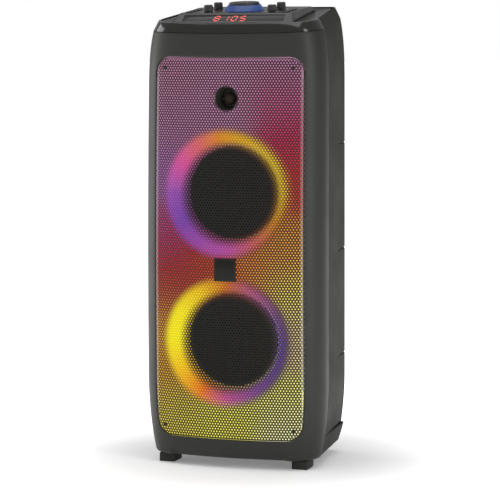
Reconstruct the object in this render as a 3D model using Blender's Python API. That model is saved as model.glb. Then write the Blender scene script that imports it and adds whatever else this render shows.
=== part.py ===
"""Party speaker: a standing cabinet with two woofers in lit rings, a tweeter and a sloping control console.

Metres, +Z up. The front faces -Y, and the origin is on the ground under the middle of the cabinet.
"""

import math

import bmesh
import bpy
from mathutils import Matrix, Vector

# Overall sizes
WIDTH = 0.355
DEPTH = 0.262
LIP_HEIGHT = 0.8335
BODY_BOTTOM = 0.017
REAR_WIDTH = 0.3205
WALL = 0.004
GAP = 0.0003

FRONT_Y = -DEPTH / 2
BACK_Y = DEPTH / 2

# Front surface: a barrel in plan that rolls into round corners, leaning back a little above and below
BEZEL_SIDE = 0.0295
GRILLE_HALF = WIDTH / 2 - BEZEL_SIDE
BARREL_RADIUS = 0.65
EDGE_DROP = 0.0055
EDGE_POWER = 8
LEAN = 0.009
CORNER_START = math.atan(GRILLE_HALF / BARREL_RADIUS + EDGE_POWER * EDGE_DROP / GRILLE_HALF)
CORNER_RADIUS = BEZEL_SIDE / (1 - math.sin(CORNER_START))
CORNER_DROP = GRILLE_HALF**2 / (2 * BARREL_RADIUS) + EDGE_DROP + CORNER_RADIUS * math.cos(CORNER_START)
SEAM_MARGIN = 0.002
SEAM_Y = FRONT_Y + LEAN + CORNER_DROP + SEAM_MARGIN

# How the sides draw in near the top and the bottom
TOP_SHAPING = 0.129
TOP_NARROWING = 0.0140
TOP_POWER = 3.2
BOTTOM_SHAPING = 0.141
BOTTOM_NARROWING = 0.0150
BOTTOM_POWER = 2

# Sloping top
DECK_SLOPE = 0.142
TRIM_HEIGHT = 0.018
TRIM_CHAMFER = 0.0045
TRIM_WALL = 0.005
DECK_RECESS = 0.002
DECK_THICKNESS = 0.004
TRIM_LEVEL = LIP_HEIGHT - TRIM_HEIGHT
LIP_Y = FRONT_Y + LEAN + TRIM_CHAMFER

# Grille and what lies on it
GRILLE_BOTTOM = 0.055
GRILLE_TOP = 0.771
GRILLE_CORNER = 0.028
GRILLE_RECESS = 0.001
GRILLE_SHEET = 0.0012
GRILLE_CLEARANCE = 0.0008
SCREW_INSET = 0.020
SCREW_RADIUS = 0.0032
SCREW_HEAD = 0.0016
SCREW_EDGE = 0.0004
BADGE_SIZE = 0.043
BADGE_THICKNESS = 0.003
BADGE_HEIGHT = 0.373
BADGE_BEVEL = 0.0008

# Speakers
WOOFER_HEIGHTS = {"lower": 0.237, "upper": 0.515}
RING_OUTER = 0.121
RING_INNER = 0.088
RING_FRONT_SETBACK = 0.0275
RING_DEPTH = 0.0235
RING_THICKNESS = 0.0025
PANEL_SETBACK = 0.009
PANEL_SHEET = 0.0025
PANEL_OVERLAP = 0.004
BAFFLE_THICKNESS = 0.012
BAFFLE_MARGIN = 0.028
BAFFLE_CLEARANCE = 0.003
BAFFLE_SIDE_GAP = 0.003
RING_PANEL_LAP = 0.003
BOARD_THICKNESS = 0.0016
BOARD_CLEARANCE = 0.004
BASKET_RADIUS = 0.102
FLANGE_THICKNESS = 0.0035
BASKET_SHEET = 0.0016
BASKET_BACK = 0.018
BASKET_LEDGE = 0.001
SURROUND_OUTER = 0.0865
SURROUND_INNER = 0.0765
SURROUND_ROLL = 0.008
SURROUND_SHEET = 0.001
SURROUND_HOLLOW = 0.8
CONE_NECK = 0.019
CONE_DEPTH = 0.034
DUST_CAP_RADIUS = 0.026
DUST_CAP_SHAPE = ((0.0, 0.012), (0.6, 0.0095), (1.0, 0.003))
CONE_SHEET = 0.0012
CONE_CROWN = 0.008
COIL_CLEARANCE = 0.001
SPIDER_OUTER = 0.0465
SPIDER_SETBACK = 0.007
SPIDER_WAVES = 4
SPIDER_WAVE_DEPTH = 0.001
SPIDER_SHEET = 0.0008
MAGNET_RADIUS = 0.05
MAGNET_DEPTH = 0.024
MAGNET_BORE = 0.008
CONE_TRAVEL = 0.004
TWEETER_HEIGHT = 0.693
TWEETER_HOLE = 0.0225
TWEETER_FLANGE = 0.032
TWEETER_SETBACK = 0.007
TWEETER_DEPTH = 0.018
TWEETER_LIP = 0.003
TWEETER_MAGNET_DEPTH = 0.016
THROAT_CLEARANCE = 0.0015
DOME_RADIUS = 0.0125
DOME_RISE = 0.006
DOME_SETBACK = 0.003
DOME_FOOT = 0.001

# Control console on the deck
CONSOLE_HALF = 0.122
CONSOLE_TOP_HALF = 0.112
CONSOLE_REAR_HALF = 0.108
CONSOLE_FACET_RUN = 0.025
CONSOLE_FACET_RISE = 0.021
CONSOLE_LENGTH = 0.180
CONSOLE_SLOPE = 0.10
CONSOLE_REAR_RUN = 0.016
CONSOLE_WALL = 0.003
CONSOLE_CLEARANCE = 0.0022
CONSOLE_FOOT_STEP = 0.004
HOLLOW_BELOW = 0.02
HOLLOW_TOP_Y = 0.7
HOLLOW_TOP_X = 1.2
DECK_MOUTH = 0.014
DECK_CUT_BELOW = 0.03
DECK_CUT_ABOVE = 0.06
CONSOLE_TILT = math.atan(CONSOLE_SLOPE)
CONSOLE_UP = Vector((0.0, -math.sin(CONSOLE_TILT), math.cos(CONSOLE_TILT)))
DISPLAY_HALF = 0.100
DISPLAY_DEPTH = 0.019
DISPLAY_THICKNESS = 0.0012
DISPLAY_CUT_ABOVE = 0.004
MAIN_KNOB_Y = -0.017
MAIN_KNOB_RADIUS = 0.029
MAIN_KNOB_HEIGHT = 0.016
MAIN_KNOB_ROUNDING = 0.002
MAIN_KNOB_DISH = 0.001
MAIN_KNOB_FOOT = 0.004
MAIN_KNOB_FLARE = 0.6
LIGHT_RING_BASE = 0.039
LIGHT_RING_TOP = 0.031
LIGHT_RING_HEIGHT = 0.0115
LIGHT_RING_LIP = 0.0012
LIGHT_RING_BORE = 0.002
SMALL_KNOB_X = 0.064
SMALL_KNOB_ROWS = (-0.042, 0.015)
SMALL_KNOB_RADIUS = 0.009
SMALL_KNOB_HEIGHT = 0.013
SMALL_KNOB_TAPER = 0.0006
SMALL_KNOB_ROUNDING = 0.0018
SMALL_KNOB_EDGE = 0.001
KNOB_LIFT = 0.0008
SHAFT_RADIUS = 0.003
SHAFT_CLEARANCE = 0.0006
SHAFT_LENGTH = 0.007
SHAFT_STEPS = 16
BUTTON_X = 0.096
BUTTON_ROWS = (-0.061, -0.043, -0.025, -0.007)
BUTTON_LENGTH = 0.009
BUTTON_WIDTH = 0.012
BUTTON_HEIGHT = 0.0055
BUTTON_PROUD = 0.0018
BUTTON_CLEARANCE = 0.0005
BUTTON_BEVEL = 0.0005

# Cabinet details
SIDE_GROOVES = (0.195, 0.399, 0.604)
GROOVE_DEPTH = 0.0016
GROOVE_WIDTH = 0.004
GROOVE_RUN = 0.095
BASE_HEIGHT = 0.040
BASE_FLARE = 0.0055
REAR_CORNER = 0.012
SEAM_STEP = 0.0012
SCOOP_HALF = 0.116
SCOOP_HEIGHT = 0.019
SCOOP_DEPTH = 0.013
SCOOP_END_RUN = 0.016
SCOOP_END_SHARE = 0.05
SCOOP_LIP = 0.002
CUT_MARGIN = 0.01
DEEP_CUT = 0.03
FOOT_OF_WALL = ((0.0, 0.006), (0.003, 0.0025))
TRAY_FOOT = ((0.0, 0.006), (0.006, 0.001))
TRAY_FLOOR_INSET = 0.010
BEZEL_FLOOR_INSET = 0.022

# Rear plate, port and mains
PLATE_WIDTH = 0.150
PLATE_BOTTOM = 0.100
PLATE_TOP = 0.360
PLATE_THICKNESS = 0.002
PLATE_LAP = 0.008
PORT_RADIUS = 0.036
PORT_LENGTH = 0.110
PORT_HEIGHT = 0.700
PORT_WALL = 0.0025
PORT_FLANGE = 0.007
PORT_FLANGE_THICKNESS = 0.002
PORT_EDGE = 0.001
ROCKER_SIZE = (0.019, 0.013)
ROCKER_POS = (0.045, 0.128)
ROCKER_SWING = math.radians(14)
ROCKER_GAP = 0.0008
ROCKER_END_GAP = 0.0006
ROCKER_BACK = 0.006
ROCKER_HORN = 0.0036
ROCKER_WAIST = 0.0024
INLET_SIZE = (0.027, 0.020)
INLET_POS = (-0.035, 0.128)
INLET_BODY_DEPTH = 0.022
INLET_SOCKET_DEPTH = 0.018
INLET_PROUD = 0.001
INLET_WALL = 0.002

# Boards and battery
CONTROL_BOARD_MARGIN = 0.022
CONTROL_BOARD_HALF = 0.055
CONTROL_BOARD_DROP = 0.006
REAR_BOARD_HALF = 0.055
AMP_BOARD_STANDOFF = 0.020
AMP_BOARD_LEVELS = (0.235, 0.350)
SUPPLY_BOARD_STANDOFF = 0.040
SUPPLY_BOARD_LEVELS = (0.150, 0.225)
BATTERY_SIZE = (0.150, 0.070, 0.055)
BATTERY_Y = 0.035
BATTERY_ROUNDING = 0.003
STRAP_THICKNESS = 0.0012
STRAP_HALF_WIDTH = 0.012
STRAP_TAB = 0.012

# Feet
FOOT_WIDTH = 0.031
FOOT_LENGTH = 0.041
FRONT_FOOT_INSET = 0.0455
FRONT_FOOT_X = WIDTH / 2 - FRONT_FOOT_INSET
FOOT_TO_SEAM = 0.018
FRONT_FOOT_Y = SEAM_Y - FOOT_TO_SEAM
REAR_FOOT_X = 0.085
REAR_FOOT_INSET = 0.056
REAR_FOOT_Y = BACK_Y - REAR_FOOT_INSET
FOOT_EDGE = 0.0012
FOOT_EDGE_HEIGHT = 0.0015

# How finely curves are divided
ROUND_STEPS = 36
LEVEL_GAP = 0.01


def clear_scene():
    """Removes everything the scene starts with."""
    for obj in list(bpy.data.objects):
        bpy.data.objects.remove(obj, do_unlink=True)


def finish_of(name, colour, roughness, metallic=0.0, glow=0.0):
    """A Principled material, made once and found again by its name."""
    material = bpy.data.materials.get(name)
    if material:
        return material
    material = bpy.data.materials.new(name)
    material.use_nodes = True
    shader = material.node_tree.nodes["Principled BSDF"]
    shader.inputs["Base Color"].default_value = (*colour, 1.0)
    shader.inputs["Roughness"].default_value = roughness
    shader.inputs["Metallic"].default_value = metallic
    if glow:
        shader.inputs["Emission Color"].default_value = (*colour, 1.0)
        shader.inputs["Emission Strength"].default_value = glow
    return material


FINISHES = {
    "matte_black": ((0.030, 0.030, 0.030), 0.55),
    "gloss_black": ((0.012, 0.012, 0.013), 0.12),
    "steel_mesh": ((0.05, 0.03, 0.04), 0.5, 0.6),
    "light_panel": ((0.85, 0.35, 0.45), 0.4, 0.0, 1.0),
    "ring_light": ((0.95, 0.45, 0.35), 0.3, 0.0, 2.0),
    "wood_board": ((0.30, 0.21, 0.13), 0.8),
    "paper_cone": ((0.03, 0.03, 0.03), 0.8),
    "rubber": ((0.02, 0.02, 0.02), 0.7),
    "spider_cloth": ((0.55, 0.40, 0.15), 0.9),
    "magnet": ((0.35, 0.35, 0.36), 0.4, 0.8),
    "pressed_steel": ((0.25, 0.25, 0.26), 0.4, 0.9),
    "dome_silk": ((0.10, 0.06, 0.04), 0.6),
    "blue_light": ((0.05, 0.18, 0.75), 0.3, 0.0, 1.5),
    "circuit_board": ((0.02, 0.18, 0.08), 0.5),
    "battery_wrap": ((0.10, 0.12, 0.45), 0.5),
    "smoked_acrylic": ((0.02, 0.02, 0.022), 0.08),
}


def make_object(name, vertices, faces, finish, sharp_angle=None):
    """A closed mesh object whose faces point outwards."""
    mesh = bpy.data.meshes.new(name)
    mesh.from_pydata([tuple(point) for point in vertices], [], faces)
    shape = bmesh.new()
    shape.from_mesh(mesh)
    bmesh.ops.recalc_face_normals(shape, faces=shape.faces)
    shape.to_mesh(mesh)
    shape.free()
    if sharp_angle is not None:
        mesh.shade_smooth()
        mesh.set_sharp_from_angle(angle=math.radians(sharp_angle))
    mesh.materials.append(finish_of(finish, *FINISHES[finish]))
    obj = bpy.data.objects.new(name, mesh)
    bpy.context.scene.collection.objects.link(obj)
    return obj


def loft(name, rings, finish, sharp_angle=None):
    """A solid through closed rings of equally many points, with flat ends."""
    count = len(rings[0])
    vertices = [point for ring in rings for point in ring]
    faces = [list(range(count)), list(range(len(vertices) - count, len(vertices)))]
    for level in range(len(rings) - 1):
        low = level * count
        high = low + count
        for i in range(count):
            j = (i + 1) % count
            faces.append([low + i, low + j, high + j, high + i])
    return make_object(name, vertices, faces, finish, sharp_angle)


def turned(name, profile, finish, steps=ROUND_STEPS, sharp_angle=35):
    """A turned solid about local Z. The profile holds (radius, height) points: a closed loop clear of the
    axis, or a line that starts and ends on it."""
    vertices = []
    rows = []
    for radius, height in profile:
        if radius == 0:
            rows.append([len(vertices)] * steps)
            vertices.append((0.0, 0.0, height))
            continue
        rows.append(list(range(len(vertices), len(vertices) + steps)))
        for step in range(steps):
            angle = 2 * math.pi * step / steps
            vertices.append((radius * math.cos(angle), radius * math.sin(angle), height))
    pairs = list(zip(rows, rows[1:]))
    if profile[0][0] > 0:
        pairs.append((rows[-1], rows[0]))
    faces = []
    for lower, upper in pairs:
        for i in range(steps):
            j = (i + 1) % steps
            corners = [lower[i], lower[j], upper[j], upper[i]]
            faces.append(list(dict.fromkeys(corners)))
    return make_object(name, vertices, faces, finish, sharp_angle)


def block(name, low, high, finish, bevel=0.0):
    """A box between two corners, with its upright and level edges rounded by a bevel."""
    (x0, y0, z0), (x1, y1, z1) = low, high
    floor = [(x0, y0, z0), (x1, y0, z0), (x1, y1, z0), (x0, y1, z0)]
    top = [(x, y, z1) for x, y, _ in floor]
    obj = loft(name, [floor, top], finish)
    if bevel:
        rounding = obj.modifiers.new("Rounded edges", "BEVEL")
        rounding.width = bevel
        rounding.segments = 1
    return obj


def stand(obj, place, direction):
    """Puts a piece modelled along local Z at a place, with its Z along a direction."""
    turn = Vector(direction).to_track_quat("Z", "Y")
    obj.matrix_world = Matrix.Translation(place) @ turn.to_matrix().to_4x4()
    return obj


def face_front(obj, depth, height, x=0.0):
    """Stands a turned piece on the front: its local Z points backwards, into the cabinet."""
    return stand(obj, (x, depth, height), (0, 1, 0))


def carve(target, cutter):
    """Cuts one piece out of another with a hidden cutter."""
    cutter.hide_render = True
    cutter.display_type = "WIRE"
    cut = target.modifiers.new("Cut " + cutter.name, "BOOLEAN")
    cut.operation = "DIFFERENCE"
    cut.solver = "EXACT"
    cut.object = cutter


def narrowing(level):
    """How far each side draws in at a level."""
    above = max(0.0, (level - LIP_HEIGHT + TOP_SHAPING) / TOP_SHAPING)
    below = max(0.0, (BODY_BOTTOM + BOTTOM_SHAPING - level) / BOTTOM_SHAPING)
    return TOP_NARROWING * above**TOP_POWER + BOTTOM_NARROWING * below**BOTTOM_POWER


def squeeze(level):
    """The share of the full width that a level has."""
    return 1 - 2 * narrowing(level) / WIDTH


def lean(level):
    """How far the front surface leans back at a level."""
    middle = (LIP_HEIGHT + BODY_BOTTOM) / 2
    reach = (level - middle) / (LIP_HEIGHT - middle)
    return LEAN * reach * reach


def deck_height(y):
    """Height of the sloping rim at a depth."""
    return LIP_HEIGHT + DECK_SLOPE * (y - LIP_Y)


def lifted(x, y, level):
    """A point of the cabinet wall: levels near the top follow the slope of the rim."""
    share = min(1.0, max(0.0, (level - LIP_HEIGHT + TOP_SHAPING) / TOP_SHAPING))
    return (x, y, level + share * (deck_height(y) - LIP_HEIGHT))


def front_drop(x):
    """How far the front surface falls back at x: a barrel with an edge roll, then a round corner."""
    x = abs(x)
    inner = min(x, GRILLE_HALF)
    drop = inner**2 / (2 * BARREL_RADIUS) + EDGE_DROP * (inner / GRILLE_HALF) ** EDGE_POWER
    if x > GRILLE_HALF:
        swing = min(1.0, (x - GRILLE_HALF) / CORNER_RADIUS + math.sin(CORNER_START))
        drop += CORNER_RADIUS * (math.cos(CORNER_START) - math.sqrt(1 - swing**2))
    return drop


def front_surface(x, level):
    """Depth of the front surface at a place on it."""
    return FRONT_Y + lean(level) + front_drop(x / squeeze(level))


def bezel_path(level, inset=0.0, back=SEAM_Y):
    """The bezel's outline in plan from its left end round the front to its right end, moved inwards."""
    places = [GRILLE_HALF * share for share in (0, 0.3, 0.55, 0.75, 0.9, 1)]
    for share in (0.25, 0.5, 0.75, 1):
        angle = CORNER_START + (math.pi / 2 - CORNER_START) * share
        places.append(GRILLE_HALF + CORNER_RADIUS * (math.sin(angle) - math.sin(CORNER_START)))
    half = [(x * squeeze(level), FRONT_Y + lean(level) + front_drop(x)) for x in places]
    path = [(-x, y) for x, y in reversed(half)] + half[1:]
    moved = []
    for i, (x, y) in enumerate(path):
        before = path[max(i - 1, 0)]
        after = path[min(i + 1, len(path) - 1)]
        along = Vector((after[0] - before[0], after[1] - before[1])).normalized()
        inward = Vector((-along.y, along.x))
        if i in (0, len(path) - 1):
            inward = Vector((-math.copysign(1.0, x), 0.0))
        moved.append((x + inward.x * inset, y + inward.y * inset))
    return [(moved[0][0], back), *moved, (moved[-1][0], back)]


def cabinet_path(level, inset=0.0, front=SEAM_Y + GAP, flare=0.0, groove=0.0):
    """The rear cabinet's outline in plan, from the right of the seam round the back to the left."""
    seam_half = (WIDTH / 2 - SEAM_STEP) * squeeze(level) - inset
    rear_half = REAR_WIDTH / 2 - narrowing(level) - inset + flare
    back = BACK_Y - inset - groove
    radius = REAR_CORNER
    share = GROOVE_RUN / (BACK_Y - SEAM_Y)
    half = [(seam_half, front), (rear_half + (seam_half - rear_half) * share, BACK_Y - GROOVE_RUN)]
    rear_half -= groove
    half.append((rear_half, back - radius))
    for angle in (30, 60, 90):
        turn = math.radians(angle)
        across = rear_half - radius * (1 - math.cos(turn))
        half.append((across, back - radius * (1 - math.sin(turn))))
    return half + [(-x, y) for x, y in reversed(half)]


SHAPED_BOTTOM = BODY_BOTTOM + BOTTOM_SHAPING
SHAPED_TOP = LIP_HEIGHT - TOP_SHAPING
BODY_LEVELS = (
    BODY_BOTTOM + 0.064 * BOTTOM_SHAPING,
    GRILLE_BOTTOM,
    BODY_BOTTOM + 0.589 * BOTTOM_SHAPING,
    SHAPED_BOTTOM,
    *(SHAPED_BOTTOM + (SHAPED_TOP - SHAPED_BOTTOM) * share for share in (0.25, 0.5, 0.75)),
    SHAPED_TOP,
    LIP_HEIGHT - 0.581 * TOP_SHAPING,
    LIP_HEIGHT - 0.349 * TOP_SHAPING,
)


def make_front_bezel():
    """The moulded front shell round the grille, open behind and above."""
    rings = [
        [lifted(x, y, level) for x, y in bezel_path(level, inset)]
        for level, inset in (
            *((BODY_BOTTOM + rise, inset) for rise, inset in FOOT_OF_WALL),
            *((level, 0.0) for level in BODY_LEVELS),
            (TRIM_LEVEL, 0.0),
        )
    ]
    bezel = loft("front_bezel", rings, "matte_black", 30)
    hollow = [
        [lifted(x, y, level) for x, y in bezel_path(level, inset, SEAM_Y + WALL)]
        for level, inset in (
            (BODY_BOTTOM + WALL, BEZEL_FLOOR_INSET),
            (GRILLE_BOTTOM, WALL),
            *((level, WALL) for level in BODY_LEVELS[2:]),
            (TRIM_LEVEL + WALL, WALL),
        )
    ]
    carve(bezel, loft("bezel_hollow", hollow, "matte_black"))
    carve(bezel, grille_outline("bezel_opening", 0.0, FRONT_Y - WALL, SEAM_Y - WALL))
    carve(bezel, make_scoop())


# Where the console stands, behind the rim at its own corners
CONSOLE_FRONT_Y = front_surface(CONSOLE_HALF, LIP_HEIGHT) + TRIM_CHAMFER + TRIM_WALL + CONSOLE_CLEARANCE
CONSOLE_TOP_Y = CONSOLE_FRONT_Y + CONSOLE_FACET_RUN
CONSOLE_TOP_Z = LIP_HEIGHT + CONSOLE_FACET_RISE


def grille_half_width(level, shrink):
    """Half of the grille's width at a level, rounded at its corners, before the cabinet's narrowing."""
    half = GRILLE_HALF - shrink
    radius = GRILLE_CORNER - shrink
    from_end = min(level - GRILLE_BOTTOM - shrink, GRILLE_TOP - shrink - level)
    if from_end >= radius:
        return half
    return half - radius + math.sqrt(max(0.0, radius**2 - (radius - from_end) ** 2))


def grille_levels(shrink):
    """Levels up the grille: close together in the corners, wide apart between them."""
    radius = GRILLE_CORNER - shrink
    turns = [radius * (1 - math.cos(math.radians(angle))) for angle in (0, 22, 45, 67, 90)]
    low = [GRILLE_BOTTOM + shrink + turn for turn in turns]
    high = [GRILLE_TOP - shrink - turn for turn in reversed(turns)]
    between = [level for level in BODY_LEVELS if low[-1] + LEVEL_GAP < level < high[0] - LEVEL_GAP]
    return low + between + high


def grille_outline(name, shrink, front, back):
    """A straight prism of the grille's outline, from one depth to another."""
    rings = []
    for level in grille_levels(shrink):
        half = grille_half_width(level, shrink) * squeeze(level)
        corners = ((-half, front), (half, front), (half, back), (-half, back))
        rings.append([(x, y, level) for x, y in corners])
    return loft(name, rings, "matte_black")


def curved_sheet(name, shrink, setback, thickness, finish):
    """A sheet that follows the front surface inside the grille's outline, set back from it."""
    shares = (-1, -0.92, -0.8, -0.6, -0.3, 0, 0.3, 0.6, 0.8, 0.92, 1)
    rings = []
    for level in grille_levels(shrink):
        half = grille_half_width(level, shrink) * squeeze(level)
        places = [half * share for share in shares]
        front = [(x, front_surface(x, level) + setback, level) for x in places]
        rings.append(front + [(x, y + thickness, level) for x, y, _ in reversed(front)])
    return loft(name, rings, finish, 40)


def make_grille():
    """The steel grille, with the round hole that the tweeter looks through."""
    grille = curved_sheet("grille", GRILLE_CLEARANCE, GRILLE_RECESS, GRILLE_SHEET, "steel_mesh")
    carve(grille, front_drill("grille_tweeter_hole", TWEETER_HOLE, TWEETER_HEIGHT))
    head = [(0, 0), (SCREW_RADIUS, SCREW_EDGE), (SCREW_RADIUS, SCREW_HEAD), (0, SCREW_HEAD)]
    for side, sign in (("left", -1), ("right", 1)):
        for end, level in (("bottom", GRILLE_BOTTOM + SCREW_INSET), ("top", GRILLE_TOP - SCREW_INSET)):
            across = sign * (GRILLE_HALF - SCREW_INSET)
            screw = turned(f"grille_screw_{end}_{side}", head, "gloss_black", 12)
            depth = front_surface(across, level)
            rise = front_surface(across + SCREW_RADIUS, level) - front_surface(across - SCREW_RADIUS, level)
            inward = Vector((-rise / (2 * SCREW_RADIUS), 1.0, 0.0)).normalized()
            on_sheet = Vector((across, depth + GRILLE_RECESS, level))
            stand(screw, on_sheet - inward * (SCREW_HEAD + GAP * 2), inward)


def front_drill(name, radius, height):
    """A round cutter through the front of the speaker."""
    reach = 2 * DEEP_CUT
    drill = turned(name, [(0, -reach), (radius, -reach), (radius, reach), (0, reach)], "matte_black", 32)
    return face_front(drill, FRONT_Y + PANEL_SETBACK, height)


def make_scoop():
    """The cutter of the slanted facet under the front edge, with sloping ends."""
    face = FRONT_Y + lean(BODY_BOTTOM + SCOOP_HEIGHT)
    bottom = BODY_BOTTOM - SCOOP_LIP
    inner = SCOOP_HALF - SCOOP_END_RUN
    rings = []
    for x, reach in ((-SCOOP_HALF, SCOOP_END_SHARE), (-inner, 1), (inner, 1), (SCOOP_HALF, SCOOP_END_SHARE)):
        top = BODY_BOTTOM + SCOOP_HEIGHT * reach
        deepest = face + SCOOP_DEPTH * reach
        section = (
            (face - DEEP_CUT, bottom),
            (deepest, bottom),
            (face + (deepest - face) * (1 - SCOOP_LIP / SCOOP_HEIGHT), BODY_BOTTOM),
            (face, top),
            (face - DEEP_CUT, top + CUT_MARGIN),
        )
        rings.append([(x, y, z) for y, z in section])
    return loft("bezel_scoop", rings, "matte_black")


def make_badge():
    """A blank square badge on the grille."""
    front = FRONT_Y + lean(BADGE_HEIGHT) + GRILLE_RECESS - GAP - BADGE_THICKNESS
    low = (-BADGE_SIZE / 2, front, BADGE_HEIGHT - BADGE_SIZE / 2)
    high = (BADGE_SIZE / 2, front + BADGE_THICKNESS, BADGE_HEIGHT + BADGE_SIZE / 2)
    block("badge", low, high, "gloss_black", BADGE_BEVEL)


def make_light_panel():
    """The lit sheet behind the grille, with holes for the rings and the tweeter."""
    panel = curved_sheet("light_panel", -PANEL_OVERLAP, PANEL_SETBACK, PANEL_SHEET, "light_panel")
    for place, height in WOOFER_HEIGHTS.items():
        carve(panel, front_drill(f"panel_hole_{place}", RING_OUTER - RING_PANEL_LAP, height))
    carve(panel, front_drill("panel_tweeter_hole", TWEETER_FLANGE + 3 * GAP, TWEETER_HEIGHT))


def make_top_trim():
    """The glossy band round the front of the upper edge."""
    rings = []
    for share in (0.0, 1.0):
        level = TRIM_LEVEL + GAP + (TRIM_HEIGHT - GAP) * share
        outside = bezel_path(level, TRIM_CHAMFER * share)
        inside = bezel_path(level, TRIM_CHAMFER * share + TRIM_WALL)
        rings.append([lifted(x, y, level) for x, y in outside + inside[::-1]])
    loft("top_trim", rings, "gloss_black", 30)


def make_rear_cabinet():
    """The rear shell: sides and back, open in front, above and below, with shallow grooves."""
    levels = [BODY_BOTTOM + BASE_HEIGHT + GAP, *BODY_LEVELS[2:], TRIM_LEVEL, LIP_HEIGHT]
    insets = [0.0] * (len(levels) - 1) + [TRIM_CHAMFER]
    cuts = [(level, inset, 0.0) for level, inset in zip(levels, insets)]
    for height in SIDE_GROOVES:
        cuts += [(height - GROOVE_WIDTH / 2, 0.0, 0.0), (height, 0.0, GROOVE_DEPTH)]
        cuts.append((height + GROOVE_WIDTH / 2, 0.0, 0.0))
    rings = []
    for level, inset, groove in sorted(cuts):
        rings.append([lifted(x, y, level) for x, y in cabinet_path(level, inset, groove=groove)])
    cabinet = loft("rear_cabinet", rings, "matte_black", 30)
    hollow = []
    for level, inset in zip(levels, insets):
        outline = cabinet_path(level, inset + WALL, SEAM_Y - WALL)
        hollow.append([lifted(x, y, level) for x, y in outline])
    hollow.insert(0, [(x, y, z - WALL) for x, y, z in hollow[0]])
    hollow.append([(x, y, z + WALL) for x, y, z in hollow[-1]])
    carve(cabinet, loft("cabinet_hollow", hollow, "matte_black"))
    plate_hole = block(
        "plate_opening",
        (-PLATE_WIDTH / 2 + PLATE_LAP, BACK_Y - DEEP_CUT, PLATE_BOTTOM + PLATE_LAP),
        (PLATE_WIDTH / 2 - PLATE_LAP, BACK_Y + DEEP_CUT, PLATE_TOP - PLATE_LAP),
        "matte_black",
    )
    carve(cabinet, plate_hole)
    radius = PORT_RADIUS + GAP
    drill = [(0, -DEEP_CUT), (radius, -DEEP_CUT), (radius, DEEP_CUT), (0, DEEP_CUT)]
    port_hole = turned("port_hole", drill, "matte_black")
    carve(cabinet, face_front(port_hole, BACK_Y, PORT_HEIGHT))


def make_base_tray():
    """The floor of the cabinet, whose sides flare to a small ledge towards the back."""
    top = BODY_BOTTOM + BASE_HEIGHT
    rings = [
        [(x, y, level) for x, y in cabinet_path(level, inset, flare=flare)]
        for level, inset, flare in (
            *((BODY_BOTTOM + rise, inset, 0.0) for rise, inset in TRAY_FOOT),
            (top, 0.0, BASE_FLARE),
        )
    ]
    tray = loft("base_tray", rings, "matte_black", 30)
    hollow = [
        [(x, y, level) for x, y in cabinet_path(level, inset, SEAM_Y - WALL)]
        for level, inset in ((BODY_BOTTOM + WALL, TRAY_FLOOR_INSET), (top + WALL, WALL))
    ]
    carve(tray, loft("tray_hollow", hollow, "matte_black"))


def make_top_panel():
    """The sloping deck inside the rim."""
    inset = TRIM_CHAMFER + TRIM_WALL + GAP
    front = bezel_path(LIP_HEIGHT, inset)[1:-1]
    rear = cabinet_path(LIP_HEIGHT, inset)
    outline = front + rear[1:-1]
    top = [(x, y, deck_height(y) - DECK_RECESS) for x, y in outline]
    rings = [[(x, y, z - DECK_THICKNESS) for x, y, z in top], top]
    panel = loft("top_panel", rings, "gloss_black")
    half = CONSOLE_REAR_HALF - DECK_MOUTH
    rear_y = CONSOLE_FRONT_Y + CONSOLE_LENGTH - CONSOLE_REAR_RUN - DECK_MOUTH
    low = (-half, CONSOLE_FRONT_Y + DECK_MOUTH, LIP_HEIGHT - DECK_CUT_BELOW)
    high = (half, rear_y, LIP_HEIGHT + DECK_CUT_ABOVE)
    carve(panel, block("deck_opening", low, high, "matte_black"))


def console_section(shrink):
    """Side profile of the console as (y, z, half width): underside first, then up over the top."""
    end_y = CONSOLE_FRONT_Y + CONSOLE_LENGTH
    top_end = end_y - CONSOLE_REAR_RUN
    top_end_z = CONSOLE_TOP_Z + CONSOLE_SLOPE * (top_end - CONSOLE_TOP_Y)
    floor = -DECK_RECESS + GAP
    points = [
        (CONSOLE_FRONT_Y, deck_height(CONSOLE_FRONT_Y) + floor, CONSOLE_HALF),
        (CONSOLE_TOP_Y, CONSOLE_TOP_Z, CONSOLE_TOP_HALF),
        (top_end, top_end_z, CONSOLE_REAR_HALF),
        (end_y, deck_height(end_y) + floor, CONSOLE_REAR_HALF + CONSOLE_FOOT_STEP),
    ]
    if not shrink:
        return points
    (y0, z0, w0), (y1, z1, w1), (y2, z2, w2), (y3, z3, w3) = points
    return [
        (y0 + 2 * shrink, z0 - HOLLOW_BELOW, w0 - 2 * shrink),
        (y1 + shrink * HOLLOW_TOP_Y, z1 - shrink, w1 - shrink * HOLLOW_TOP_X),
        (y2 - shrink * HOLLOW_TOP_Y, z2 - shrink, w2 - shrink * HOLLOW_TOP_X),
        (y3 - 2 * shrink, z3 - HOLLOW_BELOW, w3 - 2 * shrink),
    ]


def console_solid(name, shrink=0.0):
    """The raised console as a solid, smaller by a wall when it serves as the cutter of its hollow."""
    (y0, z0, w0), (y1, z1, w1), (y2, z2, w2), (y3, z3, w3) = console_section(shrink)
    base_mid_z = [z0 + (z3 - z0) * (y - y0) / (y3 - y0) for y in (y1, y2)]
    mid_half = w0 - CONSOLE_FOOT_STEP
    floor = [(w0, y0, z0), (mid_half, y1, base_mid_z[0]), (w3, y2, base_mid_z[1]), (w3, y3, z3)]
    right_top = [(w1, y1, z1), (w2, y2, z2)]
    points = floor + right_top
    points += [(-x, y, z) for x, y, z in points]
    faces = []
    for start, turn in ((0, 1), (6, -1)):
        for corners in ((0, 1, 4), (1, 2, 5, 4), (2, 3, 5)):
            faces.append([start + corner for corner in corners][::turn])
    for a, b in ((0, 1), (1, 2), (2, 3), (3, 5), (5, 4), (4, 0)):
        faces.append([a, b, b + 6, a + 6])
    return make_object(name, points, faces, "gloss_black")


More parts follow.
